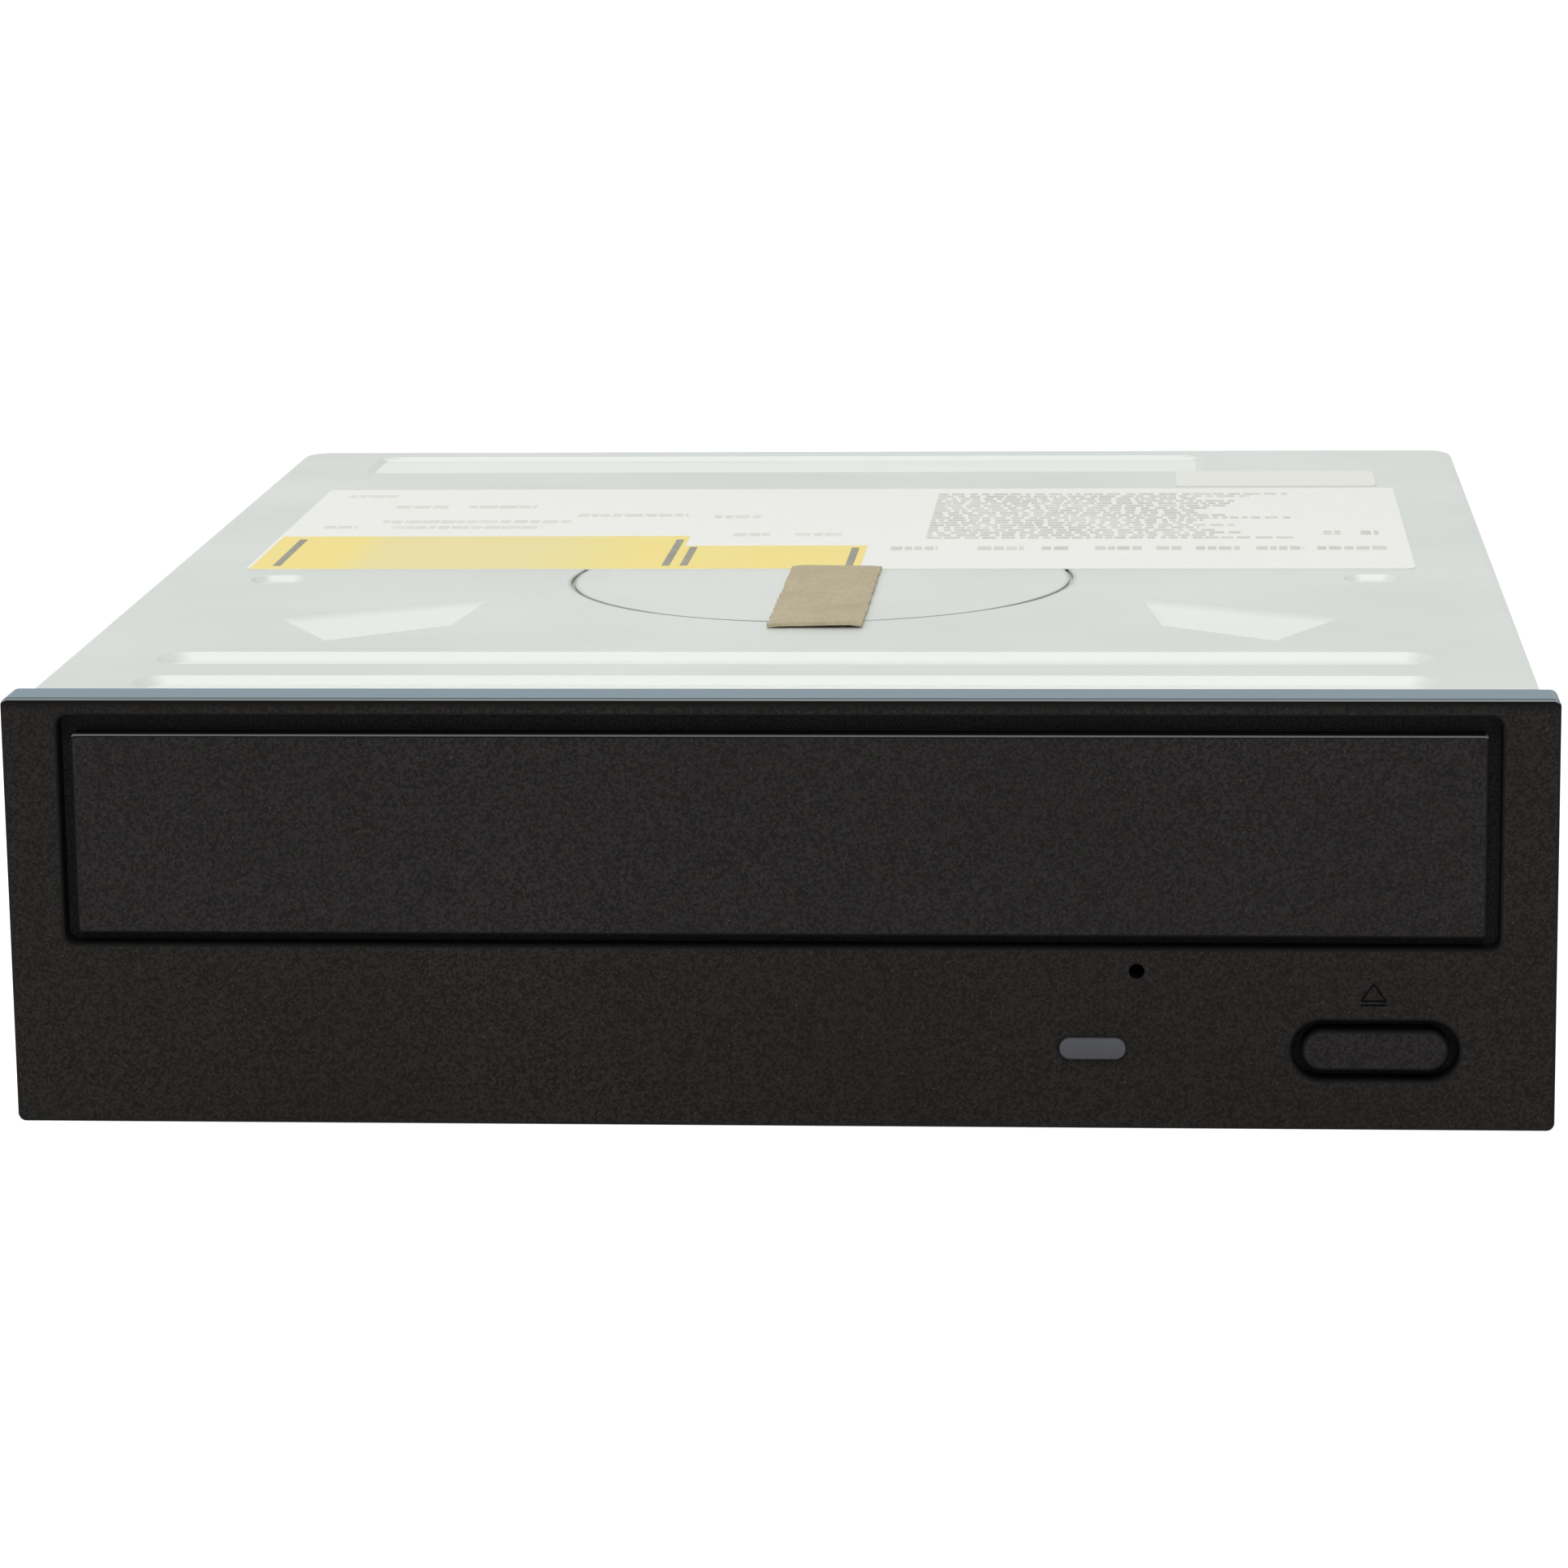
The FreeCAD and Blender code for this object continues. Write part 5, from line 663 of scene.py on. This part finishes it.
# The ring's line is painted darker, in patches and fainter towards the front.
flat = shader_node(tree, "VectorMath", {0: where, 1: (1.0, 1.0, 0.0)}, operation="MULTIPLY").outputs[0]
apart = shader_node(tree, "VectorMath", {0: flat, 1: ring_middle}, operation="DISTANCE").outputs["Value"]
off_line = calculated(tree, "ABSOLUTE", calculated(tree, "SUBTRACT", apart, ring_radius))
in_line = banded(tree, calculated(tree, "DIVIDE", off_line, ring_half_width), ((0.30, 1.0), (1.0, 0.0)))
from_front = calculated(tree, "SUBTRACT", place["Y"], ring_middle.y - ring_radius)
from_front = calculated(tree, "DIVIDE", from_front, ring_fade_run)
front_fade = banded(tree, from_front, ((0.03, 0.30), (0.78, 0.75)))
ring_patches = banded(tree, cloud(tree, where, 95.0, 2.0), ((0.40, 0.45), (0.60, 1.0)))
ring_darkening = calculated(tree, "MULTIPLY", calculated(tree, "MULTIPLY", in_line, front_fade), ring_patches)
tree.links.new(mixed(tree, ring_darkening, tone, (0.25, 0.25, 0.19)), shader.inputs["Base Color"])
dress(cover_steel, "top_cover")

# Rating label and the small blank sticker: coated white paper, glued to the cover.
# The fields and rows are printed; they carry no words, only bars of ink.


def coated_paper(name, bright, dull):
    material, tree, shader, where = new_finish(name, specular=0.4)
    fibre = cloud(tree, where, 700.0, 5.0, 0.65)
    rough = banded(tree, fibre, ((0.3, 0.42), (0.7, 0.55)))
    coloured(tree, shader, mixed(tree, fibre, bright, dull), rough)
    relief(tree, shader, fibre, 0.015, 0.4)
    return material


dress(coated_paper("label_paper", (0.89, 0.895, 0.85), (0.84, 0.85, 0.80)), "rating_label")
dress(coated_paper("sticker_paper", (0.81, 0.825, 0.765), (0.78, 0.80, 0.735)), "blank_sticker")


def ink(name, colour, faded, rough=0.5):
    material, tree, shader, where = new_finish(name, specular=0.35)
    patch = cloud(tree, where, 160.0, 6.0, 0.7)
    tone = mixed(tree, banded(tree, patch, ((0.4, 0.0), (0.62, 1.0))), colour, faded)
    coloured(tree, shader, tone, banded(tree, patch, ((0.3, rough - 0.06), (0.7, rough + 0.06))))
    return material, tree, shader, where, tone


yellow_start, yellow_run = -65.0 * MM, 70.0 * MM
yellow_ink, tree, shader, where, tone = ink("yellow_ink", (0.89, 0.725, 0.20), (0.89, 0.75, 0.25))
along = shader_node(tree, "SeparateXYZ", {"Vector": where}).outputs["X"]
share = calculated(tree, "DIVIDE", calculated(tree, "SUBTRACT", along, yellow_start), yellow_run)
dull_middle = banded(tree, share, ((0.15, 0.0), (0.20, 0.8), (0.45, 0.8), (0.62, 0.0)))
tree.links.new(mixed(tree, dull_middle, tone, (0.80, 0.715, 0.335)), shader.inputs["Base Color"])
dark_ink = ink("dark_ink", (0.22, 0.215, 0.165), (0.33, 0.32, 0.24))[0]
grey_ink = ink("grey_ink", (0.56, 0.56, 0.52), (0.70, 0.695, 0.65))[0]
faint_ink = ink("faint_ink", (0.68, 0.68, 0.635), (0.78, 0.78, 0.735))[0]

label_low, label_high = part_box("rating_label")
label_left, label_front = label_low.x / MM, label_low.y / MM
ink_height = 0.02 * MM


def print_bar(shape, x, y, layer=1):
    """A printed rectangle: x and y are its limits in millimetres."""
    low = (x[0] * MM, y[0] * MM, label_high.z + (layer - 1) * ink_height)
    high = (x[1] * MM, y[1] * MM, label_high.z + layer * ink_height)
    add_box(shape, low, high)


field_left = label_left + 0.4
field_step = -17.0
field_right = 3.7
field_front = label_front + 0.1
wide_field_back = 14.8
small_field_back = 7.8
fields = bmesh.new()
print_bar(fields, (field_left, field_step), (field_front, wide_field_back))
print_bar(fields, (field_step, field_right), (field_front, small_field_back))
new_piece("label_fields", fields, yellow_ink, "chassis")
strokes = bmesh.new()
stroke_width = 0.85
stroke_front = -6.0
stroke_places = ((-61.6, 12.6), (-18.3, 12.2), (-16.3, 6.9), (2.0, 6.3))
for x, stroke_back in stroke_places:
    print_bar(strokes, (x, x + stroke_width), (stroke_front, stroke_back), 2)
new_piece("label_strokes", strokes, dark_ink, "chassis")

print_draw = random.Random(5)


def print_words(shape, x, y, height, word, gap):
    """A row of bars of uneven length from x[0] to x[1]."""
    start = x[0]
    while start < x[1]:
        end = min(start + print_draw.uniform(*word), x[1])
        print_bar(shape, (start, end), (y, y + height))
        start = end + print_draw.uniform(*gap)


faint_height = 2.1
faint_places = ((-54.1, -48.0, 36.0), (-45.4, -37.4, 36.0), (-54.1, -32.0, 24.6),
                (-52.4, -35.0, 20.4), (-31.7, -18.7, 29.4), (-15.5, -10.1, 28.2),
                (-12.2, -7.8, 14.8), (-5.1, 0.3, 14.8), (-60.4, -56.5, 20.6), (-61.2, -55.4, 44.6))
faint_rows = bmesh.new()
for left, right, y in faint_places:
    print_words(faint_rows, (left, right), y, faint_height, (0.8, 2.2), (0.2, 0.4))
new_piece("label_faint_rows", faint_rows, faint_ink, "chassis")

front_row_y, front_row_height = 4.6, 2.4
front_row = ((6.4, 11.6), (16.1, 21.3), (23.3, 26.5), (29.3, 34.6),
             (36.1, 38.9), (40.5, 45.4), (47.2, 52.5), (54.0, 62.0))
corner_y, corner_height = 15.2, 2.8
corner_pair = ((55.0, 57.0), (59.2, 61.2))
rows = bmesh.new()
for ends in front_row:
    print_words(rows, ends, front_row_y, front_row_height, (0.7, 1.6), (0.2, 0.35))
for ends in corner_pair:
    print_words(rows, ends, corner_y, corner_height, (0.6, 1.2), (0.25, 0.4))
new_piece("label_rows", rows, grey_ink, "chassis")

block_left, block_front = 10.0, 12.6
block_right, long_right = 43.0, 51.5
block_rows = 19
block_pitch = 1.84
block_height = 1.35
long_rows = (0, 8, 18)
block = bmesh.new()
for index in range(block_rows):
    y = block_front + index * block_pitch
    last = long_right if index in long_rows else block_right + print_draw.uniform(-3.0, 4.0)
    print_words(block, (block_left, last), y, block_height, (0.5, 2.2), (0.2, 0.7))
new_piece("label_block", block, grey_ink, "chassis")

# Tape: a strip of woven beige cloth tape over the ring, cut by hand and stained in places.
# Its front right corner has lifted a little; it replaces the plain strip.

tape_low, tape_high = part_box("cover_tape")
tape_cells = (22, 66)
tape_sheet = 0.35 * MM
tape_fray = 0.12 * MM
tape_bow = 0.10 * MM
tape_swell = 0.14 * MM
lifted_length, lifted_from = 0.16, 0.35
corner_lift = 1.0 * MM
fray = random.Random(3)


def tape_shape():
    """A grid as large as the strip, bowed a little and lifted at its front right corner."""
    shape = bmesh.new()
    size = tape_high - tape_low
    bmesh.ops.create_grid(shape, x_segments=tape_cells[0], y_segments=tape_cells[1], size=0.5)
    for corner in shape.verts:
        u, v = corner.co.x + 0.5, corner.co.y + 0.5
        edge = min(u, 1 - u)
        at_side, at_front = edge < 1e-6, v < 1e-6
        ragged = fray.uniform(-tape_fray, tape_fray) if at_side or at_front else 0.0
        lift = max(0.0, lifted_length - v) * max(0.0, u - lifted_from) * corner_lift
        wave = 0.5 + 0.5 * math.sin(9.0 * v + 2.0 * u)
        held = 0.3 + 0.7 * min(1.0, edge * 8)
        x = tape_low.x + u * size.x + ragged
        y = tape_low.y + v * size.y + (abs(ragged) if at_front else 0.0)
        z = tape_low.z + tape_sheet + (tape_bow + tape_swell * wave) * held
        corner.co = (x, y, z + lift)
    return shape


weave, tree, shader, where = new_finish("woven_tape", specular=0.2)
yarn = {"Vector": where, "Distortion": 1.2, "Detail Scale": 3.0}
warp = shader_node(tree, "TexWave", {**yarn, "Scale": 1050.0},
                   wave_type="BANDS", bands_direction="X").outputs[0]
weft = shader_node(tree, "TexWave", {**yarn, "Scale": 840.0},
                   wave_type="BANDS", bands_direction="Y").outputs[0]
threads = calculated(tree, "MULTIPLY", calculated(tree, "ADD", warp, weft), 0.5)
raised = banded(tree, threads, ((0.2, 0.0), (0.8, 1.0)))
tone = mixed(tree, raised, (0.52, 0.455, 0.31), (0.61, 0.54, 0.385))
slubs = banded(tree, cloud(tree, where, 900.0, 4.0, 0.7), ((0.42, 0.0), (0.68, 1.0)))
tone = mixed(tree, calculated(tree, "MULTIPLY", slubs, 0.45), tone, (0.40, 0.34, 0.225))
stain = banded(tree, cloud(tree, where, 140.0, 5.0), ((0.42, 0.0), (0.66, 1.0)))
tone = mixed(tree, calculated(tree, "MULTIPLY", stain, 0.3), tone, (0.42, 0.355, 0.235))
coloured(tree, shader, tone, banded(tree, threads, ((0.0, 0.72), (1.0, 0.88))))
relief(tree, shader, threads, 0.12, 0.8)
tape = new_piece("cloth_tape", tape_shape(), weave, "chassis")
thicken = tape.modifiers.new("thickness", "SOLIDIFY")
thicken.thickness = tape_sheet
thicken.offset = -1.0
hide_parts("cover_tape")
dress(weave, "cover_tape")

# Floor: the pale sweep that the drive stands on, not part of it.
# It is white where nothing shades it and keeps a soft shadow near the case.

floor_half = 6.0
sweep = bmesh.new()
bmesh.ops.create_grid(sweep, x_segments=1, y_segments=1, size=floor_half)
floor_mesh = bpy.data.meshes.new("studio_floor")
sweep.to_mesh(floor_mesh)
sweep.free()
studio_floor = bpy.data.objects.new("studio_floor", floor_mesh)
bpy.context.scene.collection.objects.link(studio_floor)
floor_finish, tree, shader, where = new_finish("studio_floor", specular=0.0)
shader.inputs["Roughness"].default_value = 1.0
shader.inputs["Base Color"].default_value = (0.80, 0.80, 0.80, 1.0)
shader.inputs["Emission Color"].default_value = (1.0, 1.0, 1.0, 1.0)
floor_glow = 0.66


def seen_directly(tree):
    """1 for camera, glossy and transmission rays, 0 for the rest."""
    path = shader_node(tree, "LightPath")
    seen = calculated(tree, "MAXIMUM", path.outputs["Is Camera Ray"], path.outputs["Is Glossy Ray"])
    return calculated(tree, "MAXIMUM", seen, path.outputs["Is Transmission Ray"])


glow = calculated(tree, "MULTIPLY", seen_directly(tree), floor_glow)
tree.links.new(glow, shader.inputs["Emission Strength"])
floor_mesh.materials.append(floor_finish)

# Light: a white room, one soft lamp high in front and a weaker one from the left.
# The lamps give no mirror highlights, so the pale steel keeps its colour from behind too.

world = bpy.data.worlds.new("white_room")
bpy.context.scene.world = world
world.use_nodes = True
tree = world.node_tree
room = tree.nodes["Background"]
room.inputs["Color"].default_value = (1.0, 1.0, 1.0, 1.0)
room_fill = 0.46
strength = calculated(tree, "MULTIPLY_ADD", seen_directly(tree), 1.0 - room_fill, room_fill)
tree.links.new(strength, room.inputs["Strength"])


def soft_lamp(name, place, target, size, watts):
    data = bpy.data.lights.new(name, "AREA")
    data.shape = "RECTANGLE"
    data.size, data.size_y = size
    data.energy = watts
    lamp = bpy.data.objects.new(name, data)
    lamp.location = place
    lamp.rotation_euler = (Vector(target) - Vector(place)).to_track_quat("-Z", "Y").to_euler()
    lamp.visible_glossy = False
    bpy.context.scene.collection.objects.link(lamp)


soft_lamp("front_softbox", (0.10, -0.75, 0.95), (0.0, 0.0, 0.02), (0.7, 0.4), 6.5)
soft_lamp("left_softbox", (-0.9, 0.1, 0.7), (0.0, 0.0, 0.02), (0.5, 0.5), 3.0)

# Camera: above and in front of the drive, a little right of its middle, looking slightly down.
# A long lens; the small shift puts the drive where it stands in the picture.

camera_place = Vector((37.5, -556.8, 132.4)) * MM
camera_down = math.radians(11.55)
camera_left = math.radians(4.2)
camera_roll = math.radians(0.74)
camera_data = bpy.data.cameras.new("camera")
camera_data.lens = 116.7
camera_data.sensor_width = 36.0
camera_data.shift_x = -0.012
camera_data.shift_y = -0.013
camera_data.clip_start = 0.01
camera_data.clip_end = 30.0
camera = bpy.data.objects.new("camera", camera_data)
bpy.context.scene.collection.objects.link(camera)
camera.matrix_world = (Matrix.Translation(camera_place) @ Matrix.Rotation(camera_left, 4, "Z")
                       @ Matrix.Rotation(math.pi / 2 - camera_down, 4, "X")
                       @ Matrix.Rotation(-camera_roll, 4, "Z"))
bpy.context.scene.camera = camera
bpy.context.scene.view_settings.view_transform = "Standard"
